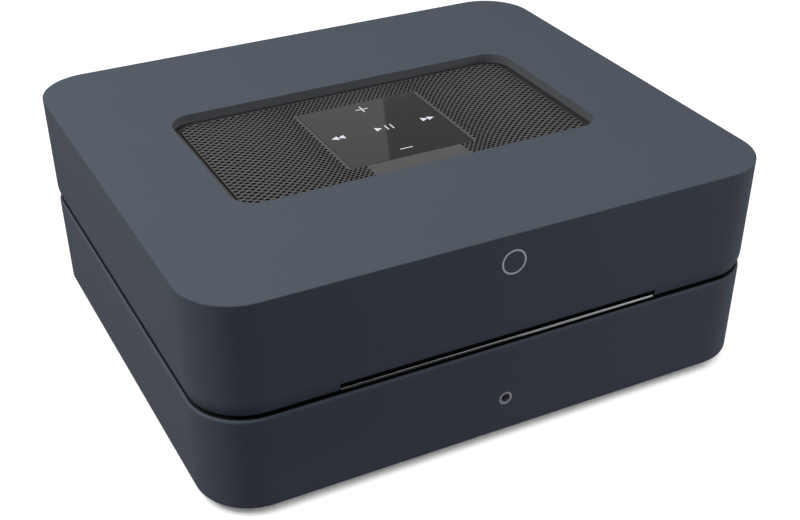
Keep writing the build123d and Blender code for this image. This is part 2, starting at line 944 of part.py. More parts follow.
def switch_body():
    front = tub_plate_inner_y - button_collar_length - button_travel - switch_depth
    return span(button_x - switch_side / 2, button_x + switch_side / 2, front, front + switch_depth,
                board_top, board_top + button_height + switch_side / 2)


def heat_sink():
    z = board_top + chip_height
    sink = block(sink_side, sink_side, sink_base, chip_x, chip_y, z)
    pitch = (sink_side - sink_fin) / (sink_fin_count - 1)
    for k in range(sink_fin_count):
        x = chip_x - (sink_side - sink_fin) / 2 + k * pitch
        sink += block(sink_fin, sink_side, sink_height, x, chip_y, z)
    return sink


def tub_outline(width, height, y0, y1):
    # A rounded bar along Y on the rear panel's axis.
    outline = RectangleRounded(width, height, tub_corner)
    return Pos(0, y1, tub_z) * Rot(90, 0, 0) * extrude(outline, y1 - y0)


def rear_tub():
    # The walls of the recess at the back, with a flange inside the casing.
    tub = tub_outline(tub_width, tub_height, tub_plate_inner_y, back_y)
    flange_width = tub_width + 2 * tub_flange_reach
    flange_height = tub_height + 2 * tub_flange_reach
    tub += tub_outline(flange_width, flange_height, back_inner_y - tub_flange_thickness, back_inner_y)
    inner_tub_width = tub_width - 2 * tub_wall
    inner_tub_height = tub_height - 2 * tub_wall
    return tub - tub_outline(inner_tub_width, inner_tub_height, tub_plate_inner_y - overrun, back_y + overrun)


def rear_panel():
    # The plate at the bottom of the recess, open for each socket.
    width = tub_width - 2 * tub_wall - 2 * skin_gap
    height = tub_height - 2 * tub_wall - 2 * skin_gap
    return tub_outline(width, height, tub_plate_inner_y, tub_plate_outer_y) - rear_cutouts()


def rear_cutouts():
    y0 = tub_plate_inner_y - overrun
    y1 = tub_plate_outer_y + overrun
    gap = socket_gap
    cuts = board_socket(ethernet_x, ethernet_width + 2 * gap, ethernet_height + 2 * gap, y0, y1,
                        board_top - gap)
    cuts += board_socket(usb_x, usb_width + 2 * gap, usb_height + 2 * gap, y0, y1, board_top + usb_foot - gap)
    cuts += board_socket(optical_x, optical_width + 2 * gap, optical_height + 2 * gap, y0, y1,
                         board_top - gap)
    for x in phono_places:
        cuts += rod_y_way(phono_flange_radius + gap, y0, y1, x, board_top + phono_height)
    for x in mini_jack_places:
        cuts += rod_y_way(mini_radius + gap, y0, y1, x, board_top + mini_height)
    cuts += rod_y_way(button_radius + button_gap, y0, y1, button_x, board_top + button_height)
    return cuts


def board_socket(x, width, height, y0, y1, z):
    return span(x - width / 2, x + width / 2, y0, y1, z, z + height)


def ethernet_socket():
    y1 = tub_plate_outer_y + ethernet_stand_out
    body = board_socket(ethernet_x, ethernet_width, ethernet_height, y1 - ethernet_length, y1, board_top)
    port_z = board_top + ethernet_port_rise
    port = board_socket(ethernet_x, ethernet_port_width, ethernet_port_height,
                        y1 - ethernet_port_depth, y1 + overrun, port_z)
    key = board_socket(ethernet_x, ethernet_port_width / 2, ethernet_port_height + ethernet_port_rise / 2,
                       y1 - ethernet_port_depth / 2, y1 + overrun, port_z)
    return body - port - key


def usb_socket():
    y1 = tub_plate_outer_y + usb_stand_out
    z = board_top + usb_foot
    y0 = y1 - usb_length
    shell = board_socket(usb_x, usb_width, usb_height, y0, y1, z)
    shell -= board_socket(usb_x, usb_width - 2 * usb_shell, usb_height - 2 * usb_shell,
                          y0 + usb_shell, y1 + overrun, z + usb_shell)
    tongue_top = z + usb_height - usb_shell - usb_tongue_thickness / 2
    tongue = board_socket(usb_x, usb_tongue_width, usb_tongue_thickness, y0,
                          y0 + usb_shell + usb_tongue_length,
                          tongue_top - usb_tongue_thickness)
    foot = board_socket(usb_x, usb_width, usb_foot, y0, tub_plate_inner_y - socket_gap, board_top)
    return shell + tongue + foot


def optical_socket():
    y1 = tub_plate_outer_y + optical_stand_out
    y0 = y1 - optical_length
    body = board_socket(optical_x, optical_width, optical_height, y0, y1, board_top)
    mouth_z = board_top + (optical_height - optical_mouth) / 2
    body -= board_socket(optical_x, optical_mouth, optical_mouth, y1 - optical_mouth_depth, y1 + overrun,
                         mouth_z)
    pin_y, pin_z = shutter_pin_place()
    return body - rod_x_way(shutter_pin_radius + running_gap, optical_width - overrun, optical_x, pin_y,
                            pin_z)


def shutter_pin_place():
    # The shutter hangs from a pin across the top of the mouth.
    mouth_top = board_top + (optical_height + optical_mouth) / 2
    return tub_plate_outer_y + optical_stand_out - shutter_set_in, mouth_top - shutter_pin_radius - shutter_gap


def optical_shutter():
    pin_y, pin_z = shutter_pin_place()
    bottom = board_top + (optical_height - optical_mouth) / 2 + shutter_gap
    half = optical_mouth / 2 - shutter_gap
    flap = span(optical_x - half, optical_x + half, pin_y - shutter_thickness / 2,
                pin_y + shutter_thickness / 2,
                bottom, pin_z)
    barrel = rod_x_way(shutter_pin_radius, 2 * half, optical_x, pin_y, pin_z)
    pin = rod_x_way(shutter_pin_radius, optical_width - overrun - 2 * shutter_gap, optical_x, pin_y, pin_z)
    return flap + barrel + pin


def phono_shells():
    shells = []
    z = board_top + phono_height
    y1 = tub_plate_outer_y + phono_reach
    for x in phono_places:
        barrel = rod_y_way(phono_outer_radius, tub_plate_outer_y, y1, x, z)
        barrel += rod_y_way(phono_flange_radius, tub_plate_inner_y, tub_plate_outer_y, x, z)
        barrel -= rod_y_way(phono_inner_radius, tub_plate_inner_y + overrun, y1 + overrun, x, z)
        body = span(x - phono_body_width / 2, x + phono_body_width / 2, tub_plate_inner_y - phono_body_depth,
                    tub_plate_inner_y, board_top, z + phono_body_width / 2)
        bore = rod_y_way(phono_centre_radius + skin_gap, tub_plate_inner_y - overrun, y1, x, z)
        shells.append(barrel + body - bore)
    return shells


def phono_centres():
    centres = []
    z = board_top + phono_height
    y0 = tub_plate_inner_y - overrun
    y1 = tub_plate_outer_y + phono_reach - overrun
    for x in phono_places:
        centre = rod_y_way(phono_centre_radius, y0, y1, x, z)
        centres.append(centre - rod_y_way(phono_bore_radius, y1 - phono_bore_depth, y1 + overrun, x, z))
    return centres


def mini_jacks():
    jacks = []
    z = board_top + mini_height
    for x in mini_jack_places:
        body = span(x - mini_body_width / 2, x + mini_body_width / 2, tub_plate_inner_y - mini_body_depth,
                    tub_plate_inner_y, board_top, z + mini_height)
        nose = rod_y_way(mini_radius, tub_plate_inner_y, tub_plate_outer_y + mini_reach, x, z)
        y1 = tub_plate_outer_y + mini_reach
        jacks.append(body + nose - rod_y_way(mini_bore_radius, y1 - mini_bore_depth, y1 + overrun, x, z))
    return jacks


def service_button():
    z = board_top + button_height
    y1 = tub_plate_outer_y + button_reach
    cap = rod_y_way(button_radius, tub_plate_inner_y, y1, button_x, z)
    cap = fillet([e for e in cap.edges() if abs(e.center().Y - y1) < running_gap], button_gap)
    collar = rod_y_way(button_collar_radius, tub_plate_inner_y - button_collar_length, tub_plate_inner_y,
                       button_x, z)
    return cap + collar


def power_board_bottom():
    return floor_top + power_post_height


def power_board_top():
    return power_board_bottom() + board_thickness


def power_board():
    board = block(power_width, power_depth, board_thickness, power_x, power_y, power_board_bottom())
    for x, y in power_posts():
        board -= post(small_screw_radius + screw_clearance, board_thickness + 2 * overrun,
                      x, y, power_board_bottom() - overrun)
    return board


def terminal_place():
    # The terminal block that takes the mains leads, at the board's back edge.
    return inlet_x, power_y + power_depth / 2 - terminal_depth


def power_parts():
    z = power_board_top()
    core_depth = transformer_depth * transformer_core_share
    core = block(transformer_width, core_depth, transformer_height, power_x, power_y, z)
    winding = block(transformer_width - 2 * wall, transformer_depth, transformer_height - 2 * wall,
                    power_x, power_y, z + wall)
    parts = [core + winding]
    for side in (1, -1):
        can_x = power_x + side * (power_width / 2 - bulk_can_radius)
        can = post(bulk_can_radius, bulk_can_height, can_x, power_y - transformer_depth, z)
        parts.append(chamfer(level_edges(can, z + bulk_can_height), small_head_height / 2))
    choke_y = power_y + transformer_depth
    choke = post(choke_radius, choke_height, power_x - transformer_width / 2, choke_y, z)
    parts.append(choke - post(choke_hole_radius, choke_height + overrun, power_x - transformer_width / 2,
                              choke_y, z))
    x, y = terminal_place()
    parts.append(block(terminal_width, terminal_depth, terminal_height, x, y, z))
    return parts


def mains_inlet():
    # A two-pin inlet: a block with a mouth, and its pins standing in it.
    half = inlet_mouth_height / 2
    y0 = back_inner_y - inlet_body_depth
    front = back_y - ledge_inset
    body = span(inlet_x - inlet_width / 2, inlet_x + inlet_width / 2, y0, front,
                inlet_z - inlet_body_height / 2, inlet_z + inlet_body_height / 2)
    nose_grow = wall
    body += span(inlet_x - (inlet_mouth_width + nose_grow) / 2, inlet_x + (inlet_mouth_width + nose_grow) / 2,
                 front, back_y, inlet_z - half - nose_grow / 2, inlet_z + half + nose_grow / 2)
    mouth = RectangleRounded(inlet_mouth_width, inlet_mouth_height, half - overrun)
    body -= Pos(inlet_x, back_y + overrun, inlet_z) * Rot(90, 0, 0) * extrude(mouth,
                                                                              inlet_mouth_depth + overrun)
    for side in (1, -1):
        x = inlet_x + side * inlet_pin_spacing / 2
        y1 = back_y - inlet_mouth_depth
        body += rod_y_way(inlet_pin_radius, y1 - overrun, y1 + inlet_pin_length, x, inlet_z)
    return body


def disk_base():
    base = block(disk_width, disk_depth, disk_height - disk_cover_thickness, disk_x, disk_y, disk_bottom)
    hollow_width = disk_width - 2 * disk_wall
    hollow_depth = disk_depth - 2 * disk_wall
    base -= rounded_slab(hollow_width, hollow_depth, disk_wall, disk_height, disk_floor_top,
                         disk_x, disk_y)
    inset = 2 * disk_board_inset
    base -= block(disk_width - inset, disk_depth - inset, disk_board_thickness + overrun, disk_x, disk_y,
                  disk_bottom - overrun)
    base += post(spindle_pin_radius, hub_height + hub_base_gap, platter_x, platter_y, disk_floor_top)
    base += post(arm_pin_radius, arm_levels[-1] + arm_thickness + hub_base_gap, arm_x, arm_y, disk_floor_top)
    return base


def disk_cover():
    cover = rounded_slab(disk_width, disk_depth, disk_wall, disk_cover_thickness, disk_cover_z, disk_x,
                         disk_y)
    rise = disk_cover_thickness / 4
    cover -= slab(Circle(platter_radius), rise, disk_cover_z + disk_cover_thickness - rise, platter_x,
                  platter_y)
    return cover


def disk_board():
    inset = 2 * disk_board_inset + 2 * skin_gap
    return block(disk_width - inset, disk_depth - inset, disk_board_thickness, disk_x, disk_y, disk_bottom)


def disk_grommets():
    dx = disk_width / 2 - grommet_inset
    dy = disk_depth / 2 - grommet_inset
    return [post(grommet_radius, grommet_height, disk_x + x, disk_y + y, floor_top) for x, y in four(dx, dy)]


def disk_platters():
    platters = []
    for level in platter_levels:
        disc = post(platter_radius, platter_thickness, platter_x, platter_y, disk_floor_top + level)
        platters.append(disc - post(hub_radius, platter_thickness + overrun, platter_x, platter_y,
                                    disk_floor_top + level))
    return platters


def disk_hub():
    hub = post(hub_radius, hub_height - hub_base_gap, platter_x, platter_y, disk_floor_top + hub_base_gap)
    return hub - post(spindle_pin_radius + running_gap, hub_height + 2 * overrun, platter_x, platter_y,
                      disk_floor_top)


def disk_actuator():
    # Three tapered arms and a coil on one hub, parked outside the platters.
    top = arm_levels[-1] + arm_thickness
    body = post(arm_hub_radius, top - hub_base_gap, 0, 0, disk_floor_top + hub_base_gap)
    half_root = arm_root_width / 2
    half_tip = arm_tip_width / 2
    outline = Polyline((0, -half_root), (arm_length, -half_tip), (arm_length, half_tip), (0, half_root),
                       close=True)
    for level in arm_levels:
        body += slab(make_face(outline), arm_thickness, disk_floor_top + level)
    a = radians(coil_half_angle)
    reach = coil_length
    fan = Polyline((0, 0), (-reach * cos(a), reach * sin(a)), (-reach, 0),
                   (-reach * cos(a), -reach * sin(a)), close=True)
    body += slab(make_face(fan), coil_thickness, disk_floor_top + arm_levels[1])
    body -= post(arm_pin_radius + running_gap, disk_height, 0, 0, disk_floor_top - overrun)
    return Pos(arm_x, arm_y, 0) * Rot(0, 0, arm_parked_angle) * body


def drive_tray():
    tray = block(drive_width, drive_depth, drive_height - drive_sheet, drive_x, drive_y, drive_z)
    inner = span(drive_x - drive_inner_x, drive_x + drive_inner_x, drive_front - overrun,
                 drive_back - drive_sheet,
                 drive_floor, drive_z + drive_height)
    tray -= inner
    lip = span(drive_x - drive_inner_x, drive_x + drive_inner_x, drive_front, drive_front + drive_sheet,
               drive_floor, drive_floor + drive_front_lip)
    tray += lip
    for side in (1, -1):
        tray += pivot_ear(side)
    return tray


def pivot_ear(side):
    # The bearing ear for one of the traverse's pivot pins, standing on the tray's floor.
    x = drive_x + side * (traverse_width / 2 + ear_gap + ear_width / 2)
    ear = block(ear_width, ear_depth, traverse_mid_z + ear_cap - drive_floor, x, traverse_pin_y, drive_floor)
    return ear - rod_x_way(traverse_pin_radius + running_gap, ear_width + overrun, x, traverse_pin_y,
                           traverse_mid_z)


def drive_cover():
    cover = block(drive_width, drive_depth, drive_sheet, drive_x, drive_y, drive_cover_z)
    lip_bottom = drive_cover_z - drive_cover_lip
    cover += span(drive_x - drive_inner_x + skin_gap, drive_x + drive_inner_x - skin_gap,
                  drive_front, drive_front + drive_sheet, lip_bottom, drive_cover_z)
    return cover


def roller_bearings():
    blocks = []
    for side in (1, -1):
        x = drive_x + side * bearing_x
        bearing = block(bearing_width, bearing_depth, roller_z + bearing_cap - drive_floor, x, roller_y,
                        drive_floor)
        bearing -= rod_x_way(roller_shaft_radius + running_gap, bearing_width + overrun, x, roller_y,
                             roller_z)
        blocks.append(bearing)
    return blocks


def roller_shaft():
    shaft = rod_x_way(roller_shaft_radius, 2 * roller_shaft_half_length, drive_x, roller_y, roller_z)
    return shaft + rod_x_way(roller_pulley_radius, pulley_width, drive_x + pulley_x, roller_y, roller_z)


def loading_roller():
    # Two rubber cones that are slimmest at the middle, so that a disc touches them by its edges alone.
    roller = None
    for side in (1, -1):
        x = drive_x + side * roller_half_length / 2
        cone = Cone(roller_middle_radius, roller_end_radius, roller_half_length)
        half = Pos(x, roller_y, roller_z) * Rot(0, side * 90, 0) * cone
        roller = half if roller is None else roller + half
    return roller - rod_x_way(roller_shaft_radius, 2 * roller_half_length + overrun, drive_x, roller_y,
                              roller_z)


def loading_motor():
    x1 = drive_x + pulley_x - pulley_width / 2 - motor_gap
    body = rod_x_way(motor_radius, motor_length, x1 - motor_length / 2, loading_motor_y, loading_motor_z)
    foot_top = loading_motor_z - motor_radius / 2
    foot = span(x1 - motor_length, x1, loading_motor_y - motor_radius / 2, loading_motor_y + motor_radius / 2,
                drive_floor, foot_top)
    return body + foot + motor_spigot(x1)


def motor_spigot(x1):
    # The motor's fixed spigot, on which its pulley runs.
    length = motor_gap + pulley_width
    return rod_x_way(motor_shaft_radius, length, x1 + length / 2, loading_motor_y, loading_motor_z)


def motor_pulley():
    x = drive_x + pulley_x
    pulley = rod_x_way(motor_pulley_radius, pulley_width, x, loading_motor_y, loading_motor_z)
    return pulley - rod_x_way(motor_shaft_radius + running_gap, pulley_width + overrun, x, loading_motor_y,
                              loading_motor_z)


def drive_belt():
    # An open-faced loop round the two pulleys, with straight runs tangent to both.
    outer = belt_outline(belt_thickness + running_gap)
    inner = belt_outline(running_gap)
    width = pulley_width - 2 * skin_gap
    x = drive_x + pulley_x - width / 2
    return Pos(x, 0, 0) * extrude(outer - inner, width)


def belt_outline(grow):
    # The hull of the two pulleys, grown outwards, in a plane across the shafts.
    big = roller_pulley_radius + grow
    small = motor_pulley_radius + grow
    dy = loading_motor_y - roller_y
    dz = loading_motor_z - roller_z
    distance = sqrt(dy * dy + dz * dz)
    lean = (big - small) / distance
    rise = sqrt(1 - lean * lean)
    along = (dy / distance, dz / distance)
    points = []
    for side in (1, -1):
        normal = (along[0] * lean - side * along[1] * rise, along[1] * lean + side * along[0] * rise)
        points.append(((roller_y + normal[0] * big, roller_z + normal[1] * big),
                       (loading_motor_y + normal[0] * small, loading_motor_z + normal[1] * small)))
    far = (loading_motor_y + along[0] * small, loading_motor_z + along[1] * small)
    near = (roller_y - along[0] * big, roller_z - along[1] * big)
    (top_a, top_b), (low_a, low_b) = points
    edges = [Line(top_a, top_b), ThreePointArc(top_b, far, low_b), Line(low_b, low_a),
             ThreePointArc(low_a, near, top_a)]
    return Plane.YZ * make_face(Curve() + edges)


def traverse_frame():
    # A plate with a window for the sled, blocks for the rods' ends and two pivot pins.
    half = traverse_width / 2
    plate = span(drive_x - half, drive_x + half, traverse_front, traverse_back, traverse_z,
                 traverse_z + traverse_thickness)
    plate -= span(drive_x - window_half_width, drive_x + window_half_width, window_front, window_back,
                  traverse_z - overrun, traverse_mid_z + overrun)
    plate -= post(spindle_hole_radius, traverse_thickness + 2 * overrun, spindle_x, spindle_y,
                  traverse_z - overrun)
    for y0, y1 in rod_block_places():
        for x in (-rod_x, screw_x, rod_x):
            plate += block(rod_block_width, rod_block_depth, rod_block_height, drive_x + x, (y0 + y1) / 2,
                           traverse_mid_z - rod_block_height / 2)
            bore = lead_screw_radius + running_gap if x == screw_x else rod_radius
            plate -= rod_y_way(bore, y0 - overrun, y1 + overrun, drive_x + x, traverse_mid_z)
    motor_slot_half = sled_motor_radius + screw_clearance
    motor_front = window_front - rod_block_depth - sled_motor_length
    plate -= span(drive_x + screw_x - motor_slot_half, drive_x + screw_x + motor_slot_half,
                  motor_front - screw_clearance, window_front - rod_block_depth,
                  traverse_z - overrun, traverse_mid_z + overrun)
    for side in (1, -1):
        pin_length = traverse_pin_length + overrun
        x = drive_x + side * (half + traverse_pin_length - pin_length / 2)
        plate += rod_x_way(traverse_pin_radius, pin_length, x, traverse_pin_y, traverse_mid_z)
    return plate


def rod_block_places():
    return [(window_front - rod_block_depth, window_front), (window_back, window_back + rod_block_depth)]


def spindle_motor():
    z = traverse_z - spindle_motor_height
    motor = post(spindle_motor_radius, spindle_motor_height, spindle_x, spindle_y, z)
    top = traverse_z + traverse_thickness + turntable_lift + turntable_thickness
    return motor + post(spindle_shaft_radius, top - z, spindle_x, spindle_y, z)


def turntable():
    z = traverse_z + traverse_thickness + turntable_lift
    table = post(turntable_radius, turntable_thickness, spindle_x, spindle_y, z)
    hub_z = z + turntable_thickness
    hub = post(turntable_hub_radius, turntable_hub_height, spindle_x, spindle_y, hub_z)
    hub = chamfer(level_edges(hub, hub_z + turntable_hub_height), turntable_chamfer)
    bore = post(spindle_shaft_radius + running_gap, turntable_thickness + turntable_hub_height, spindle_x,
                spindle_y,
                z - turntable_hub_height)
    return table + hub - bore


def guide_rods():
    y0 = rod_block_places()[0][0]
    y1 = rod_block_places()[1][1]
    return [rod_y_way(rod_radius, y0, y1, drive_x + x, traverse_mid_z) for x in (-rod_x, rod_x)]


def sled_motor():
    y1 = window_front - rod_block_depth
    x = drive_x + screw_x
    return rod_y_way(sled_motor_radius, y1 - sled_motor_length, y1 - running_gap, x, traverse_mid_z)


def sled_back():
    # The sled's rearmost face at rest, with the whole travel still behind it.
    return window_back - sled_back_margin - sled_travel


def pickup_sled():
    y1 = sled_back()
    y0 = y1 - sled_length
    z = traverse_mid_z - sled_height / 2
    sled = span(drive_x - sled_width / 2, drive_x + sled_width / 2, y0, y1, z, z + sled_height)
    for x in (-rod_x, rod_x):
        sled -= rod_y_way(rod_radius + running_gap, y0 - overrun, y1 + overrun, drive_x + x, traverse_mid_z)
    sled -= rod_y_way(sled_screw_hole, y0 - overrun, y1 + overrun, drive_x + screw_x, traverse_mid_z)
    sled -= post(lens_radius, sled_height, drive_x, y1 - lens_from_back, traverse_mid_z)
    return sled


def pickup_lens():
    y = sled_back() - lens_from_back
    z = traverse_mid_z
    height = sled_height / 2 + lens_rise
    lens = post(lens_radius - skin_gap, height, drive_x, y, z)
    return fillet(level_edges(lens, z + height), lens_rise)


def lead_screw():
    # A screw whose thread is a row of ridges round a core, plain where it runs in its blocks.
    y0 = window_front - rod_block_depth
    y1 = window_back + rod_block_depth
    x = drive_x + screw_x
    screw = rod_y_way(lead_screw_core, y0, y1, x, traverse_mid_z)
    for end0, end1 in rod_block_places():
        screw += rod_y_way(lead_screw_radius, end0, end1, x, traverse_mid_z)
    turns = int((window_back - window_front) / lead_pitch)
    ridge = lead_pitch / 3
    for k in range(turns):
        y = window_front + (k + 1) * lead_pitch
        screw += rod_y_way(lead_screw_radius, y - ridge, y, x, traverse_mid_z)
    return screw


def ribbon(points, x):
    # A flat ribbon along a route in the plane across X, with a rounded turn.
    path = FilletPolyline([(0, y, z) for y, z in points], radius=ribbon_bend)
    section = Plane(origin=path @ 0, x_dir=(1, 0, 0), z_dir=path % 0) * Rectangle(ribbon_width,
                                                                                  ribbon_thickness)
    return Pos(x, 0, 0) * sweep(section, path)


def inner_cables():
    # Two ribbons, the mains leads and the supply leads between the two boards.
    (disk_socket_x, disk_socket_y), (drive_socket_x, drive_socket_y) = ribbon_sockets()
    plug_z = board_z - connector_height
    disk_back = disk_y + disk_depth / 2
    low = disk_bottom + disk_floor / 2
    disk_route = [(disk_back, low), (disk_socket_y, low), (disk_socket_y, plug_z)]
    drive_low = drive_z + drive_height / 2
    drive_route = [(drive_back, drive_low), (drive_socket_y, drive_low), (drive_socket_y, plug_z)]
    cables = [ribbon(disk_route, disk_socket_x), ribbon(drive_route, drive_socket_x)]
    x, y = terminal_place()
    terminal_z = power_board_top() + terminal_height / 2
    tag_y = back_inner_y - inlet_body_depth
    for side in (1, -1):
        cables.append(rod_y_way(lead_radius, y + terminal_depth / 2, tag_y, x + side * terminal_width / 4,
                                terminal_z))
    for k in range(supply_lead_count):
        lead_y = supply_y + (k - (supply_lead_count - 1) / 2) * supply_lead_step
        cables.append(post(lead_radius, plug_z - power_board_top(), supply_x, lead_y, power_board_top()))
    return cables


pieces = (
    lower_shell, upper_shell, seam_frame, case_screws, rubber_feet, slot_trim, slot_curtain,
    grille_frame, top_grille, touch_panel, touch_icons, touch_tray, panel_boards, light_ring,
    headphone_ring, headphone_jack, headphone_contacts, chassis_plate, board_standoffs,
    board_screws, drive_tray, drive_cover, roller_bearings, roller_shaft, loading_roller, loading_motor,
    motor_pulley, drive_belt, traverse_frame, spindle_motor, guide_rods, sled_motor, turntable,
    pickup_sled, pickup_lens, lead_screw, disk_base, disk_cover, disk_board, disk_platters, disk_hub,
    disk_actuator, disk_grommets, main_board, main_chips, heat_sink, ethernet_socket, usb_socket,
    optical_socket, optical_shutter, phono_shells, phono_centres, mini_jacks, service_button,
    rear_tub, rear_panel, mains_inlet, power_board, power_parts, inner_cables,
)

os.makedirs("parts", exist_ok=True)
for piece in pieces:
    save(piece.__name__, piece())
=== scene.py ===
import math
import bpy
import bmesh
from mathutils import Matrix, Vector


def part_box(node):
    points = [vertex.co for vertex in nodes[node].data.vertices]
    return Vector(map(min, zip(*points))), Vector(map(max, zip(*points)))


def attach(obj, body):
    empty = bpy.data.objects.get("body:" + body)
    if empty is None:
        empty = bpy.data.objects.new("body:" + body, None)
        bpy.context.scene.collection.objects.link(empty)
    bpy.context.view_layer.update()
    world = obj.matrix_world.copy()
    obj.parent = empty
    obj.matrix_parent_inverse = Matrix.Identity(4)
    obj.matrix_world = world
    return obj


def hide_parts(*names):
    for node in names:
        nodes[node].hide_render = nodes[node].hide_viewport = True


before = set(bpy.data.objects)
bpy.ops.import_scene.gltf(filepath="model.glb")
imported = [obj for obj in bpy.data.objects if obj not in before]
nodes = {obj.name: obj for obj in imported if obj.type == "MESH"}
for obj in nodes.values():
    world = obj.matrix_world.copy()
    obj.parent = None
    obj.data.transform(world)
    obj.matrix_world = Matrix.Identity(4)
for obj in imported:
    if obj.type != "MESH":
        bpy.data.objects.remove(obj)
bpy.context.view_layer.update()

mm = 0.001
print("frame loaded:", len(nodes), "nodes")


def srgb(r, g, b):
    # 0-255 screen values to the linear ones that the shaders use
    def lin(v):
        v = v / 255
        return v / 12.92 if v <= 0.04045 else ((v + 0.055) / 1.055) ** 2.4
    return (lin(r), lin(g), lin(b), 1.0)


def scaled(colour, share):
    return tuple(min(1.0, c * share) for c in colour[:3]) + (1.0,)


def feed(tree, value, socket):
    # a node's output is linked, and a plain number or colour is set
    if isinstance(value, bpy.types.NodeSocket):
        tree.links.new(value, socket)
    else:
        socket.default_value = value


def emptyTree(owner, outputKind):
    # a material or world starts with its output alone
    owner.use_nodes = True
    tree = owner.node_tree
    tree.nodes.clear()
    return tree, tree.nodes.new(outputKind).inputs["Surface"]


def newMaterial(name):
    mat = bpy.data.materials.new(name)
    tree, surface = emptyTree(mat, "ShaderNodeOutputMaterial")
    shader = tree.nodes.new("ShaderNodeBsdfPrincipled")
    tree.links.new(shader.outputs["BSDF"], surface)
    return mat, tree, shader


def objectCoords(tree, stretch=(1, 1, 1)):
    coord = tree.nodes.new("ShaderNodeTexCoord")
    mapping = tree.nodes.new("ShaderNodeMapping")
    mapping.inputs["Scale"].default_value = stretch
    tree.links.new(coord.outputs["Object"], mapping.inputs["Vector"])
    return mapping.outputs["Vector"]


def axes(tree, vector):
    # the separate X, Y and Z of a place
    split = tree.nodes.new("ShaderNodeSeparateXYZ")
    tree.links.new(vector, split.inputs[0])
    return split.outputs


noiseSet = {"usualLow": 0.3, "usualHigh": 0.7, "cloudDetail": 4.0, "grainDetail": 2.0}


def noise(tree, vector, scale, detail):
    tex = tree.nodes.new("ShaderNodeTexNoise")
    tex.inputs["Scale"].default_value = scale
    tex.inputs["Detail"].default_value = detail
    tree.links.new(vector, tex.inputs["Vector"])
    return tex.outputs["Fac"]


def spread(tree, value, low, high, fromLow=noiseSet["usualLow"], fromHigh=noiseSet["usualHigh"]):
    node = tree.nodes.new("ShaderNodeMapRange")
    node.inputs["From Min"].default_value = fromLow
    node.inputs["From Max"].default_value = fromHigh
    node.inputs["To Min"].default_value = low
    node.inputs["To Max"].default_value = high
    tree.links.new(value, node.inputs["Value"])
    return node.outputs["Result"]


def ramp(tree, value, stops):
    node = tree.nodes.new("ShaderNodeValToRGB")
    elements = node.color_ramp.elements
    while len(elements) < len(stops):
        elements.new(0.5)  # it gets its place below
    for element, (place, colour) in zip(elements, stops):
        element.position = place
        element.color = colour
    tree.links.new(value, node.inputs["Fac"])
    return node.outputs["Color"]


def combine(tree, operation, first, second):
    node = tree.nodes.new("ShaderNodeMath")
    node.operation = operation
    feed(tree, first, node.inputs[0])
    feed(tree, second, node.inputs[1])
    return node.outputs[0]


def mixColours(tree, share, first, second, blend="MIX"):
    node = tree.nodes.new("ShaderNodeMix")
    node.data_type = "RGBA"
    node.blend_type = blend
    for socket, value in zip((0, 6, 7), (share, first, second)):  # the mix node's sockets for colours
        feed(tree, value, node.inputs[socket])
    return node.outputs[2]


def mixShaders(tree, share, first, second):
    node = tree.nodes.new("ShaderNodeMixShader")
    for socket, value in zip(node.inputs, (share, first, second)):
        feed(tree, value, socket)
    return node.outputs[0]


def plainDiffuse(tree, colour):
    node = tree.nodes.new("ShaderNodeBsdfDiffuse")
    node.inputs["Color"].default_value = colour
    return node.outputs[0]


def glow(tree, strength):
    node = tree.nodes.new("ShaderNodeEmission")
    feed(tree, strength, node.inputs["Strength"])
    return node.outputs[0]


def addGrain(tree, shader, vector, look):
    # a fine grain breaks up the gloss and raises a slight bump
    grain = noise(tree, vector, look["grainScale"], noiseSet["grainDetail"])
    rough = look["rough"]
    uneven = spread(tree, grain, rough - look["roughSpread"], rough + look["roughSpread"])
    tree.links.new(uneven, shader.inputs["Roughness"])
    bump = tree.nodes.new("ShaderNodeBump")
    bump.inputs["Strength"].default_value = look["bump"]
    bump.inputs["Distance"].default_value = look["bumpDepth"]
    tree.links.new(grain, bump.inputs["Height"])
    tree.links.new(bump.outputs["Normal"], shader.inputs["Normal"])


# what a look may set besides, each on the shader's own socket
plainSockets = {"metal": "Metallic", "specular": "Specular IOR Level", "coat": "Coat Weight",
                "coatRough": "Coat Roughness", "clear": "Transmission Weight"}


def grainFinish(name, look):
    # a coat, moulding or metal: two shades broken up by noise, with a grain over them
    mat, tree, shader = newMaterial(name)
    vector = objectCoords(tree, look.get("stretch", (1, 1, 1)))
    cloud = noise(tree, vector, look["cloudScale"], noiseSet["cloudDetail"])
    low = scaled(look["colour"], 1 - look["shade"])
    high = scaled(look["colour"], 1 + look["shade"])
    shades = ramp(tree, cloud, [(noiseSet["usualLow"], low), (noiseSet["usualHigh"], high)])
    tree.links.new(shades, shader.inputs["Base Color"])
    addGrain(tree, shader, vector, look)
    for key, socket in plainSockets.items():
        if key in look:
            shader.inputs[socket].default_value = look[key]
    return mat


def openFinish(mat):
    # a finish's tree, its shader and the colour that reaches it
    shader = mat.node_tree.nodes["Principled BSDF"]
    return mat.node_tree, shader, shader.inputs["Base Color"].links[0].from_socket


def give(mat, *names):
    for name in names:
        slots = nodes[name].data.materials
        slots.clear()
        slots.append(mat)


casingLook = {"colour": srgb(67, 74, 82), "shade": 0.012, "cloudScale": 26, "grainScale": 5200,
              "rough": 0.75, "roughSpread": 0.04, "bump": 0.10, "bumpDepth": 0.00002, "specular": 0.16}
# painted shade and painted light: the step in the seam between the shells is painted near black for the
# shade in the gap, and the walls around the plate are painted a lighter grey for the light that falls on
# them
gapShade = {"height": 1.4 * mm, "lap": 0.12 * mm, "beyond": 10 * mm, "soft": 0.06 * mm,
         "colour": srgb(7, 7, 9)}
wallLight = {"margin": 3.5 * mm, "below": 0.9 * mm, "underRim": 0.2 * mm, "soft": 0.06 * mm,
          "colour": srgb(80, 82, 84)}


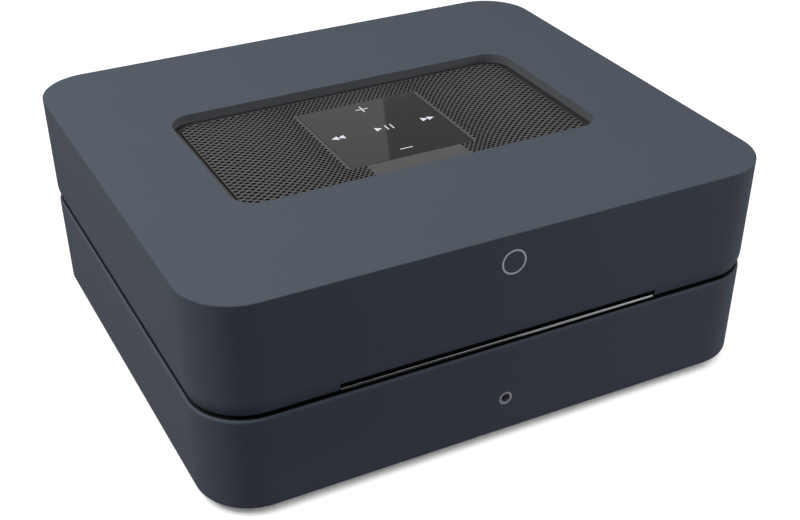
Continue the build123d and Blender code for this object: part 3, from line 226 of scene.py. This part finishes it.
def boxMask(tree, low, high, soft):
    # 1 inside a box in object coordinates and 0 outside it
    place = axes(tree, objectCoords(tree))
    edges = []
    for axis, start, end in zip("XYZ", low, high):
        edges.append(spread(tree, place[axis], 0.0, 1.0, start, start + soft))
        edges.append(spread(tree, place[axis], 1.0, 0.0, end, end + soft))
    inside = edges[0]
    for edge in edges[1:]:
        inside = combine(tree, "MULTIPLY", inside, edge)
    return inside


def paintBox(mat, low, high, look):
    # inside the box the coat gives way to another colour; it paints the shade in the seam and the light on
    # the walls around the plate
    tree, shader, colour = openFinish(mat)
    inside = boxMask(tree, low, high, look["soft"])
    tree.links.new(mixColours(tree, inside, colour, look["colour"]), shader.inputs["Base Color"])


def makeCasingCoat():
    mat = grainFinish("casingCoat", casingLook)
    # painted shade: the step in the seam, all the way round, darkened for the shade in the gap between the
    # shells
    shellLow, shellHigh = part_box("lower_shell")
    low = (shellLow[0] - gapShade["beyond"], shellLow[1] - gapShade["beyond"], shellHigh[2] - gapShade["lap"])
    high = (shellHigh[0] + gapShade["beyond"], shellHigh[1] + gapShade["beyond"], shellHigh[2] + gapShade["height"])
    paintBox(mat, low, high, gapShade)
    # painted light: the walls, from just below the plate to just under the rim, lightened for the light that
    # falls on them
    plateLow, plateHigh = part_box("top_grille")
    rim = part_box("upper_shell")[1][2] - wallLight["underRim"]
    low = (plateLow[0] - wallLight["margin"], plateLow[1] - wallLight["margin"], plateLow[2] - wallLight["below"])
    high = (plateHigh[0] + wallLight["margin"], plateHigh[1] + wallLight["margin"], rim)
    paintBox(mat, low, high, wallLight)
    return mat


give(makeCasingCoat(), "upper_shell", "lower_shell")

darkLook = {"colour": srgb(34, 36, 40), "shade": 0.05, "cloudScale": 60, "grainScale": 3500, "rough": 0.38,
            "roughSpread": 0.05, "bump": 0.12, "bumpDepth": 0.00003}
give(grainFinish("darkFrame", darkLook), "rear_panel", "rear_tub")

seamLook = {"colour": srgb(9, 9, 11), "shade": 0.05, "cloudScale": 60, "grainScale": 3500, "rough": 0.6,
            "roughSpread": 0.05, "bump": 0.12, "bumpDepth": 0.00003, "specular": 0.2}
give(grainFinish("seamBlack", seamLook), "seam_frame")

wellLook = {"colour": srgb(13, 13, 15), "shade": 0.05, "cloudScale": 70, "grainScale": 3800, "rough": 0.55,
            "roughSpread": 0.05, "bump": 0.12, "bumpDepth": 0.00003}
give(grainFinish("wellFrame", wellLook), "grille_frame")

plateLook = {"colour": srgb(63, 63, 62), "shade": 0.015, "cloudScale": 40, "grainScale": 6000, "rough": 0.6,
             "roughSpread": 0.04, "bump": 0.12, "bumpDepth": 0.00002, "specular": 0.35, "holeShadeShare": 0.03}


def makePlateCoat():
    # painted shade: the faces marked as hollow, the walls of the holes and the plate's outer edge, keep only
    # a share of the colour, for the shade inside the holes
    mat = grainFinish("plateCoat", plateLook)
    tree, shader, colour = openFinish(mat)
    mark = tree.nodes.new("ShaderNodeAttribute")
    mark.attribute_name = "hollow"
    dark = (plateLook["holeShadeShare"],) * 3 + (1,)
    darkened = mixColours(tree, mark.outputs["Fac"], colour, dark, "MULTIPLY")
    tree.links.new(darkened, shader.inputs["Base Color"])
    return mat


plateCoat = makePlateCoat()
give(plateCoat, "top_grille")

screenLook = {"colour": srgb(18, 19, 21), "shade": 0.01, "cloudScale": 30, "grainScale": 900, "rough": 0.03,
              "roughSpread": 0.01, "bump": 0.01, "bumpDepth": 0.00001, "specular": 0.2}
give(grainFinish("screenFace", screenLook), "touch_panel")

markLook = {"colour": srgb(214, 218, 222), "shade": 0.02, "cloudScale": 400, "grainScale": 4000,
            "rough": 0.5, "roughSpread": 0.05, "bump": 0.1, "bumpDepth": 0.00001}
give(grainFinish("printedMarks", markLook), "touch_icons")

lightLook = {"colour": srgb(188, 191, 196), "shade": 0.03, "cloudScale": 200, "grainScale": 2500,
             "rough": 0.35, "roughSpread": 0.05, "bump": 0.08, "bumpDepth": 0.00001}
give(grainFinish("milkyLight", lightLook), "light_ring")

jackRingLook = {"colour": srgb(160, 163, 168), "shade": 0.04, "cloudScale": 300, "grainScale": 3000,
                "rough": 0.35, "roughSpread": 0.06, "bump": 0.1, "bumpDepth": 0.00001, "metal": 0.4}
give(grainFinish("jackRing", jackRingLook), "headphone_ring")

trimLook = {"colour": srgb(178, 180, 184), "shade": 0.03, "cloudScale": 90, "grainScale": 1800,
            "rough": 0.10, "roughSpread": 0.03, "metal": 1.0, "bump": 0.03, "bumpDepth": 0.00001}
give(grainFinish("trimGloss", trimLook), "slot_trim")

feltLook = {"colour": srgb(8, 8, 9), "shade": 0.3, "cloudScale": 900, "grainScale": 5200, "rough": 0.95,
            "roughSpread": 0.03, "bump": 0.7, "bumpDepth": 0.0001, "specular": 0.1}
blackFelt = grainFinish("blackFelt", feltLook)
give(blackFelt, "slot_curtain")

rubberLook = {"colour": srgb(30, 30, 31), "shade": 0.1, "cloudScale": 150, "grainScale": 2600,
              "rough": 0.82, "roughSpread": 0.08, "bump": 0.3, "bumpDepth": 0.00006}
give(grainFinish("softRubber", rubberLook), "rubber_feet", "disk_grommets", "loading_roller", "drive_belt")

steelLook = {"colour": (0.52, 0.53, 0.54, 1), "shade": 0.08, "cloudScale": 110, "grainScale": 1500,
             "rough": 0.36, "roughSpread": 0.10, "metal": 1.0, "bump": 0.08, "bumpDepth": 0.00002,
             "stretch": (1, 14, 14)}
give(grainFinish("zincSheet", steelLook), "chassis_plate", "drive_tray", "drive_cover", "disk_cover")

castLook = {"colour": (0.40, 0.41, 0.42, 1), "shade": 0.10, "cloudScale": 220, "grainScale": 1900,
            "rough": 0.55, "roughSpread": 0.10, "metal": 1.0, "bump": 0.35, "bumpDepth": 0.00006}
give(grainFinish("castAlloy", castLook), "disk_base", "disk_actuator", "traverse_frame", "pickup_sled")

shaftLook = {"colour": (0.72, 0.73, 0.74, 1), "shade": 0.04, "cloudScale": 300, "grainScale": 2600,
             "rough": 0.16, "roughSpread": 0.05, "metal": 1.0, "bump": 0.04, "bumpDepth": 0.00001}
give(grainFinish("groundSteel", shaftLook), "roller_shaft", "guide_rods", "lead_screw", "disk_hub")

screwLook = {"colour": (0.30, 0.30, 0.31, 1), "shade": 0.10, "cloudScale": 400, "grainScale": 2600,
             "rough": 0.38, "roughSpread": 0.08, "metal": 1.0, "bump": 0.15, "bumpDepth": 0.00002}
give(grainFinish("platedScrew", screwLook), "case_screws", "board_screws")

platterLook = {"colour": (0.78, 0.80, 0.83, 1), "shade": 0.02, "cloudScale": 60, "grainScale": 900,
               "rough": 0.05, "roughSpread": 0.02, "metal": 1.0, "bump": 0.01, "bumpDepth": 0.00001}
give(grainFinish("platterMirror", platterLook), "disk_platters")

tinLook = {"colour": (0.55, 0.56, 0.57, 1), "shade": 0.06, "cloudScale": 260, "grainScale": 2200,
           "rough": 0.28, "roughSpread": 0.08, "metal": 1.0, "bump": 0.08, "bumpDepth": 0.00002}
give(grainFinish("tinnedShell", tinLook), "ethernet_socket", "usb_socket", "loading_motor", "spindle_motor",
     "sled_motor")

goldLook = {"colour": (0.75, 0.56, 0.25, 1), "shade": 0.05, "cloudScale": 300, "grainScale": 2600,
            "rough": 0.22, "roughSpread": 0.06, "metal": 1.0, "bump": 0.05, "bumpDepth": 0.00001}
goldPlate = grainFinish("goldPlate", goldLook)
give(goldPlate, "headphone_contacts", "board_standoffs")

phonoSet = {"housing": srgb(28, 28, 30), "soft": 0.05 * mm}


def makePhonoFinish(name, look):
    # gold from the rear panel outwards, and a black moulded housing inside it
    mat = grainFinish(name, look)
    tree, shader, gold = openFinish(mat)
    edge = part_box("rear_panel")[0][1]
    depth = axes(tree, objectCoords(tree))["Y"]
    outside = spread(tree, depth, 0.0, 1.0, edge, edge + phonoSet["soft"])
    tree.links.new(mixColours(tree, outside, phonoSet["housing"], gold), shader.inputs["Base Color"])
    tree.links.new(outside, shader.inputs["Metallic"])
    return mat


give(makePhonoFinish("phonoGold", goldLook), "phono_shells")

blackLook = {"colour": srgb(30, 30, 32), "shade": 0.08, "cloudScale": 200, "grainScale": 3000,
             "rough": 0.48, "roughSpread": 0.08, "bump": 0.2, "bumpDepth": 0.00003}
give(grainFinish("blackMoulding", blackLook), "headphone_jack", "mini_jacks", "optical_socket",
     "optical_shutter", "service_button", "mains_inlet", "touch_tray", "turntable")

whiteLook = {"colour": srgb(205, 205, 200), "shade": 0.03, "cloudScale": 200, "grainScale": 3000,
             "rough": 0.45, "roughSpread": 0.06, "bump": 0.12, "bumpDepth": 0.00002}
give(grainFinish("whiteMoulding", whiteLook), "roller_bearings", "motor_pulley")

insertLook = {"beyond": 1 * mm, "grainScale": 3000, "rough": 0.4, "roughSpread": 0.06, "bump": 0.12,
              "bumpDepth": 0.00002,
              "stops": [(0.0, srgb(196, 98, 32)), (0.25, srgb(32, 32, 36)), (0.5, srgb(150, 28, 30)),
                        (0.75, srgb(214, 214, 208))]}


def makeInserts(name, look):
    # one plastic for the four sockets in a row, each in its own colour
    mat, tree, shader = newMaterial(name)
    vector = objectCoords(tree)
    low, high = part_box("phono_shells")
    start, end = low[0] - look["beyond"], high[0] + look["beyond"]
    along = spread(tree, axes(tree, vector)["X"], 0.0, 1.0, start, end)
    colour = ramp(tree, along, look["stops"])
    colour.node.color_ramp.interpolation = "CONSTANT"
    tree.links.new(colour, shader.inputs["Base Color"])
    addGrain(tree, shader, vector, look)
    return mat


give(makeInserts("phonoInserts", insertLook), "phono_centres")

boardLook = {"colour": (0.012, 0.085, 0.040, 1), "shade": 0.18, "cloudScale": 500, "grainScale": 1800,
             "rough": 0.32, "roughSpread": 0.06, "bump": 0.3, "bumpDepth": 0.00003, "coat": 0.4,
             "coatRough": 0.2}
give(grainFinish("boardLacquer", boardLook), "main_board", "power_board", "panel_boards", "disk_board")

chipLook = {"colour": srgb(38, 38, 40), "shade": 0.12, "cloudScale": 240, "grainScale": 2600, "rough": 0.55,
            "roughSpread": 0.08, "bump": 0.25, "bumpDepth": 0.00003}
give(grainFinish("chipEpoxy", chipLook), "main_chips", "power_parts")

sinkLook = {"colour": (0.03, 0.03, 0.034, 1), "shade": 0.1, "cloudScale": 160, "grainScale": 2000,
            "rough": 0.45, "roughSpread": 0.08, "metal": 0.8, "bump": 0.1, "bumpDepth": 0.00002}
give(grainFinish("sinkAnodised", sinkLook), "heat_sink")

cableLook = {"colour": srgb(120, 121, 124), "shade": 0.06, "cloudScale": 120, "grainScale": 1600,
             "rough": 0.55, "roughSpread": 0.06, "bump": 0.2, "bumpDepth": 0.00004, "stretch": (40, 1, 1)}
give(grainFinish("cableSheath", cableLook), "inner_cables")

lensLook = {"colour": (0.35, 0.45, 0.75, 1), "shade": 0.02, "cloudScale": 200, "grainScale": 900,
            "rough": 0.04, "roughSpread": 0.01, "bump": 0.01, "bumpDepth": 0.00001, "clear": 0.6}
give(grainFinish("lensGlass", lensLook), "pickup_lens")
print("materials ready")


def newObject(mesh, name):
    # the finished mesh becomes an object of the scene, at the origin
    data = bpy.data.meshes.new(name)
    mesh.to_mesh(data)
    mesh.free()
    made = bpy.data.objects.new(name, data)
    bpy.context.scene.collection.objects.link(made)
    return made


def bodyPiece(mesh, name, mat):
    # a new piece of the object, fixed to its casing
    piece = newObject(mesh, name)
    piece.data.materials.append(mat)
    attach(piece, "body")
    return piece


def outlineLoop(mesh, width, depth, radius, steps):
    # a closed rounded rectangle of edges, from a unit square with its corners bevelled
    size = Matrix.Diagonal((width, depth, 1, 1))
    made = bmesh.ops.create_grid(mesh, x_segments=1, y_segments=1, size=0.5, matrix=size)
    bmesh.ops.bevel(mesh, geom=made["verts"], offset=radius, offset_type="OFFSET", segments=steps,
                    profile=0.5, affect="VERTICES", material=-1)
    bmesh.ops.delete(mesh, geom=mesh.faces[:], context="FACES_ONLY")


sheetSet = {"askew": 0.37, "uprightBelow": 0.5}


def sheetPiece(mesh, name, top, thickness, mat):
    # fills the outlines, gives the sheet its thickness and brings it to metres; the rows of holes are
    # turned off the axes for the fill, which goes wrong where many points share one line
    askew = Matrix.Rotation(sheetSet["askew"], 4, "Z")
    bmesh.ops.transform(mesh, matrix=askew, verts=mesh.verts[:])
    bmesh.ops.triangle_fill(mesh, use_beauty=True, use_dissolve=False, edges=mesh.edges[:], normal=(0, 0, 1))
    bmesh.ops.transform(mesh, matrix=askew.inverted(), verts=mesh.verts[:])
    done = bmesh.ops.extrude_face_region(mesh, geom=mesh.faces[:])
    lower = [g for g in done["geom"] if isinstance(g, bmesh.types.BMVert)]
    bmesh.ops.translate(mesh, verts=lower, vec=(0, 0, -thickness))
    bmesh.ops.recalc_face_normals(mesh, faces=mesh.faces[:])
    # the upright faces are marked; on the plate they take the painted shade of the hole walls
    hollow = mesh.faces.layers.float.new("hollow")
    for face in mesh.faces:
        face[hollow] = 1.0 if abs(face.normal.z) < sheetSet["uprightBelow"] else 0.0
    bmesh.ops.scale(mesh, verts=mesh.verts[:], vec=(mm, mm, mm))
    bmesh.ops.translate(mesh, verts=mesh.verts[:], vec=(0, 0, top))
    return bodyPiece(mesh, name, mat)


# the plate in millimetres: its outline, its window, the rows, the columns, the holes and the sloped rim
grille = {"width": 140.6, "depth": 73.7, "radius": 7.0, "cornerSteps": 8, "thickness": 1.0,
          "window": 50.4, "windowRadius": 0.7, "windowSteps": 3, "windowMargin": 0.95, "windowTrim": 0.3,
          "rows": 14, "rowStep": 2.607, "rowReach": 35.3, "landHalf": 19.6, "margin": 1.12,
          "innerColumns": 30, "innerStep": 1.0, "outerColumns": 25, "outerStart": 30.05,
          "outerStep": 1.0723, "outerGrowth": 0.01863,
          "sides": 8, "hole": 0.64, "wider": 0.46, "widerEase": 1.5, "taller": 0.03, "growReach": 68.0,
          "rimInset": 0.6, "rimBand": 0.1, "rimSlack": 0.05}


def columnPlaces():
    # the columns stand evenly near the middle and spread out towards the ends
    half = [k * grille["innerStep"] for k in range(grille["innerColumns"] + 1)]
    for n in range(1, grille["outerColumns"] + 1):
        half.append(grille["outerStart"] + grille["outerStep"] * n + grille["outerGrowth"] * n * n)
    places = []
    for index, x in enumerate(half):
        places.append((x, index))
        if index:
            places.append((-x, index))
    return places


def pastCorners(x, y, unit):
    # how far a point lies beyond the centres of the rounded corners, along each axis
    cornerX = (grille["width"] / 2 - grille["radius"]) * unit
    cornerY = (grille["depth"] / 2 - grille["radius"]) * unit
    return max(abs(x) - cornerX, 0), max(abs(y) - cornerY, 0)


def keepsMargin(x, y):
    # a hole stays off the rim, the window and the bare land in front of the window
    inside = math.hypot(*pastCorners(x, y, 1)) <= grille["radius"] - grille["margin"]
    half = grille["window"] / 2 + grille["windowMargin"]
    inWindow = abs(x) < half and abs(y) < half - grille["windowTrim"]
    onLand = y < 0 and abs(x) < grille["landHalf"]
    return inside and not inWindow and not onLand


def slopeRim(data):
    # the plate's outer edge slopes in towards its top
    top = max(v.co.z for v in data.vertices)
    for vertex in data.vertices:
        x, y, z = vertex.co
        overX, overY = pastCorners(x, y, mm)
        reach = math.hypot(overX, overY)
        onRim = reach > (grille["radius"] - grille["rimSlack"]) * mm
        if onRim and z > top - grille["rimBand"] * mm:
            share = grille["rimInset"] * mm / reach
            vertex.co.x -= math.copysign(overX * share, x)
            vertex.co.y -= math.copysign(overY * share, y)


def makeGrille():
    mesh = bmesh.new()
    outlineLoop(mesh, grille["width"], grille["depth"], grille["radius"], grille["cornerSteps"])
    outlineLoop(mesh, grille["window"], grille["window"], grille["windowRadius"], grille["windowSteps"])
    turn = Matrix.Rotation(math.pi / grille["sides"], 4, "Z")
    count = 0
    for x, index in columnPlaces():
        shift = 0.5 if index % 2 else 0.0  # every other column stands half a row up
        share = min(1.0, abs(x) / grille["growReach"])
        halfWide = grille["hole"] + grille["wider"] * share ** grille["widerEase"]
        halfTall = grille["hole"] + grille["taller"] * share
        for row in range(-grille["rows"], grille["rows"] + 1):
            y = (row + shift) * grille["rowStep"]
            if abs(y) > grille["rowReach"] or not keepsMargin(x, y):
                continue
            place = Matrix.Translation((x, y, 0)) @ Matrix.Diagonal((halfWide, halfTall, 1, 1)) @ turn
            bmesh.ops.create_circle(mesh, cap_ends=False, segments=grille["sides"], radius=1.0, matrix=place)
            count += 1
    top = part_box("top_grille")[1][2]
    piece = sheetPiece(mesh, "perforatedPlate", top, grille["thickness"], plateCoat)
    slopeRim(piece.data)
    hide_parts("top_grille")
    print("perforated plate:", count, "holes", len(piece.data.polygons), "faces")


makeGrille()

cloth = {"width": 132.0, "depth": 65.0, "corner": 5.0, "cornerSteps": 5, "window": 56.6, "windowCorner": 2.5,
         "windowSteps": 3, "drop": 0.35, "thickness": 0.3}


def makeCloth():
    mesh = bmesh.new()
    outlineLoop(mesh, cloth["width"], cloth["depth"], cloth["corner"], cloth["cornerSteps"])
    outlineLoop(mesh, cloth["window"], cloth["window"], cloth["windowCorner"], cloth["windowSteps"])
    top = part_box("top_grille")[0][2] - cloth["drop"] * mm
    sheetPiece(mesh, "grilleCloth", top, cloth["thickness"], blackFelt)


makeCloth()
print("cloth made")

springs = {"count": 8, "pitch": 1.02, "width": 0.42, "thickness": 0.22, "length": 8.0, "tilt": 0.42,
           "inset": 6.6, "rise": 4.1}
strips = {"places": (-3.5, -1.0, 1.0, 3.5), "width": 1.0, "thickness": 0.12, "length": 7.4, "tilt": 0.0,
          "inset": 9.3, "rise": 3.09}
bladeEdge = 0.2  # a blade's bevel as a share of its thickness


def addBlade(mesh, centre, look):
    # one flat blade, turned about its own width
    place = Matrix.Translation(Vector(centre) * mm) @ Matrix.Rotation(-look["tilt"], 4, "X")
    shape = Matrix.Diagonal((look["width"] * mm, look["length"] * mm, look["thickness"] * mm, 1))
    made = bmesh.ops.create_cube(mesh, size=1.0, matrix=place @ shape)
    edges = list({e for v in made["verts"] for e in v.link_edges})
    bmesh.ops.bevel(mesh, geom=edges, offset=look["thickness"] * mm * bladeEdge, offset_type="OFFSET",
                    segments=1, profile=0.5, affect="EDGES", material=-1)


def makeContacts(name, socket, shifts, look):
    # a row of blades in a socket, placed from the middle of its opening
    low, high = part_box(socket)
    middle = (low[0] + high[0]) / 2 / mm
    mesh = bmesh.new()
    for shift in shifts:
        addBlade(mesh, (middle + shift, high[1] / mm - look["inset"], low[2] / mm + look["rise"]), look)
    bodyPiece(mesh, name, goldPlate)


# springs in the network socket, and strips under the tongue of the other one
springShifts = [(k - (springs["count"] - 1) / 2) * springs["pitch"] for k in range(springs["count"])]
makeContacts("portSprings", "ethernet_socket", springShifts, springs)
makeContacts("tongueStrips", "usb_socket", strips["places"], strips)
print("contacts made")


floorSet = {"size": 12, "white": (0.34, 0.34, 0.34, 1), "lift": 0.93, "bounce": (0.16, 0.15, 0.19, 1),
            "gloss": 0.45, "contact": 0.0062, "samples": 16, "contactDark": 0.0, "contactFrom": 0.439,
            "contactTo": 0.80, "contactEase": 0.33, "casingCorner": 20.65 * mm, "darkReach": 12.5 * mm,
            "clearReach": 16.5 * mm}


def reachPast(tree, corner):
    # how far a place lies from a rectangle about the middle, which ends at its corners
    steps = (("ABSOLUTE", None), ("SUBTRACT", corner), ("MAXIMUM", (0, 0, 0)), ("LENGTH", None))
    value = objectCoords(tree)
    for operation, other in steps:
        node = tree.nodes.new("ShaderNodeVectorMath")
        node.operation = operation
        tree.links.new(value, node.inputs[0])
        if other is not None:
            node.inputs[1].default_value = other
        value = node.outputs["Value" if operation == "LENGTH" else "Vector"]
    return value


def contactLevel(tree):
    # full in the open and dark close to the object
    near = tree.nodes.new("ShaderNodeAmbientOcclusion")
    near.inputs["Distance"].default_value = floorSet["contact"]
    near.samples = floorSet["samples"]
    openness = spread(tree, near.outputs["AO"], 0.0, 1.0, floorSet["contactFrom"], floorSet["contactTo"])
    eased = combine(tree, "POWER", openness, floorSet["contactEase"])
    # below the casing the floor stays dark, under the screw wells too
    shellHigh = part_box("lower_shell")[1]
    corner = (shellHigh[0] - floorSet["casingCorner"], shellHigh[1] - floorSet["casingCorner"], 0.0)
    outside = spread(tree, reachPast(tree, corner), 0.0, 1.0, floorSet["darkReach"], floorSet["clearReach"])
    openFloor = combine(tree, "MULTIPLY", eased, outside)
    return spread(tree, openFloor, floorSet["contactDark"], floorSet["lift"], 0.0, 1.0)


def makeFloor():
    # white to the camera, with a contact shadow, and a dim grey to the light that bounces
    bpy.ops.mesh.primitive_plane_add(size=floorSet["size"])
    floor = bpy.context.object
    floor.name = "studioFloor"
    mat = bpy.data.materials.new("paleFloor")
    tree, surface = emptyTree(mat, "ShaderNodeOutputMaterial")
    seen = tree.nodes.new("ShaderNodeAddShader")
    tree.links.new(plainDiffuse(tree, floorSet["white"]), seen.inputs[0])
    tree.links.new(glow(tree, contactLevel(tree)), seen.inputs[1])
    path = tree.nodes.new("ShaderNodeLightPath").outputs
    bounce = plainDiffuse(tree, floorSet["bounce"])
    unseen = mixShaders(tree, path["Is Glossy Ray"], bounce, glow(tree, floorSet["gloss"]))
    tree.links.new(mixShaders(tree, path["Is Camera Ray"], unseen, seen.outputs[0]), surface)
    floor.data.materials.append(mat)


worldSet = {"soft": 0.22, "seen": 1.0, "softTint": (1.0, 0.93, 1.16, 1), "white": (1, 1, 1, 1)}


def makeWorld():
    # white where it is seen, also in gloss and through glass, and a soft tinted light elsewhere
    world = bpy.data.worlds.new("studioWorld")
    bpy.context.scene.world = world
    tree, surface = emptyTree(world, "ShaderNodeOutputWorld")
    path = tree.nodes.new("ShaderNodeLightPath").outputs
    seen = combine(tree, "MAXIMUM", path["Is Camera Ray"], path["Is Glossy Ray"])
    seen = combine(tree, "MAXIMUM", seen, path["Is Transmission Ray"])
    back = tree.nodes.new("ShaderNodeBackground")
    tint = ramp(tree, seen, [(0.0, worldSet["softTint"]), (1.0, worldSet["white"])])
    tree.links.new(tint, back.inputs["Color"])
    tree.links.new(spread(tree, seen, worldSet["soft"], worldSet["seen"], 0.0, 1.0), back.inputs["Strength"])
    tree.links.new(back.outputs["Background"], surface)


cameraSet = {"place": (-0.1986, -0.4032, 0.2929), "yaw": 0.471, "pitch": 0.627, "roll": -0.003,
             "focal": 1283.648, "imageWidth": 800,  # both in pixels
             "sensor": 36, "shiftY": 0.1404, "nearest": 0.01}


def aimedFrom(place, forward):
    # stands at a place and looks along a direction, as cameras and lamps do
    return Matrix.Translation(place) @ forward.to_track_quat("-Z", "Y").to_matrix().to_4x4()


def makeCamera():
    data = bpy.data.cameras.new("photoCamera")
    data.sensor_width = cameraSet["sensor"]
    data.sensor_fit = "HORIZONTAL"
    data.lens = cameraSet["focal"] / cameraSet["imageWidth"] * cameraSet["sensor"]
    data.shift_y = cameraSet["shiftY"]
    data.clip_start = cameraSet["nearest"]
    yaw, pitch = cameraSet["yaw"], cameraSet["pitch"]
    forward = Vector((math.sin(yaw) * math.cos(pitch), math.cos(yaw) * math.cos(pitch), -math.sin(pitch)))
    camera = bpy.data.objects.new("photoCamera", data)
    camera.matrix_world = aimedFrom(cameraSet["place"], forward) @ Matrix.Rotation(cameraSet["roll"], 4, "Z")
    bpy.context.scene.collection.objects.link(camera)
    bpy.context.scene.camera = camera


cards = {
    "topCard": {"grey": 0.5,
                "corners": ((0.990, 1.979, 1.2), (1.128, 2.294, 1.2), (3.2, 2.294, 1.2), (3.2, 1.2, 1.2),
                            (0.65, 1.2, 1.2))},
    "frontCard": {"grey": 0.05,
                  "corners": ((-1.6, -1.2, 0.03), (0.72, -1.2, 0.03), (0.72, -1.2, 3.2), (-1.6, -1.2, 3.2))},
    "lowCard": {"grey": 0.02,
                "corners": ((-0.5, -0.6, 0.012), (0.02, -0.6, 0.012), (0.03, -0.112, 0.012),
                            (-0.5, -0.112, 0.012))},
}


def makeCard(name, look):
    # a card off to the side of the set, seen in reflections alone
    mesh = bmesh.new()
    mesh.faces.new([mesh.verts.new(place) for place in look["corners"]])
    card = newObject(mesh, name)
    mat = bpy.data.materials.new(name + "Grey")
    tree, surface = emptyTree(mat, "ShaderNodeOutputMaterial")
    clear = tree.nodes.new("ShaderNodeBsdfTransparent").outputs[0]
    mirrored = tree.nodes.new("ShaderNodeLightPath").outputs["Is Glossy Ray"]
    tree.links.new(mixShaders(tree, mirrored, clear, glow(tree, look["grey"])), surface)
    card.data.materials.append(mat)


lamps = {
    "keyLamp": {"place": (-0.50, -0.02, 0.76), "aim": (0, 0, 0.06), "size": (0.45, 0.45), "power": 8.0,
                "mirrored": True},
    "rightLamp": {"place": (0.78, -0.42, 0.30), "aim": (0, 0, 0.05), "size": (0.4, 0.4), "power": 4.9,
                  "mirrored": False},
}


def addLamp(name, look):
    data = bpy.data.lights.new(name, "AREA")
    data.shape = "RECTANGLE"
    data.size, data.size_y = look["size"]
    data.energy = look["power"]
    lamp = bpy.data.objects.new(name, data)
    lamp.matrix_world = aimedFrom(look["place"], Vector(look["aim"]) - Vector(look["place"]))
    bpy.context.scene.collection.objects.link(lamp)
    lamp.visible_glossy = look["mirrored"]


makeFloor()
makeWorld()
makeCamera()
for cardName, cardLook in cards.items():
    makeCard(cardName, cardLook)
for lampName, lampLook in lamps.items():
    addLamp(lampName, lampLook)
bpy.context.scene.view_settings.view_transform = "Standard"
print("studio ready")
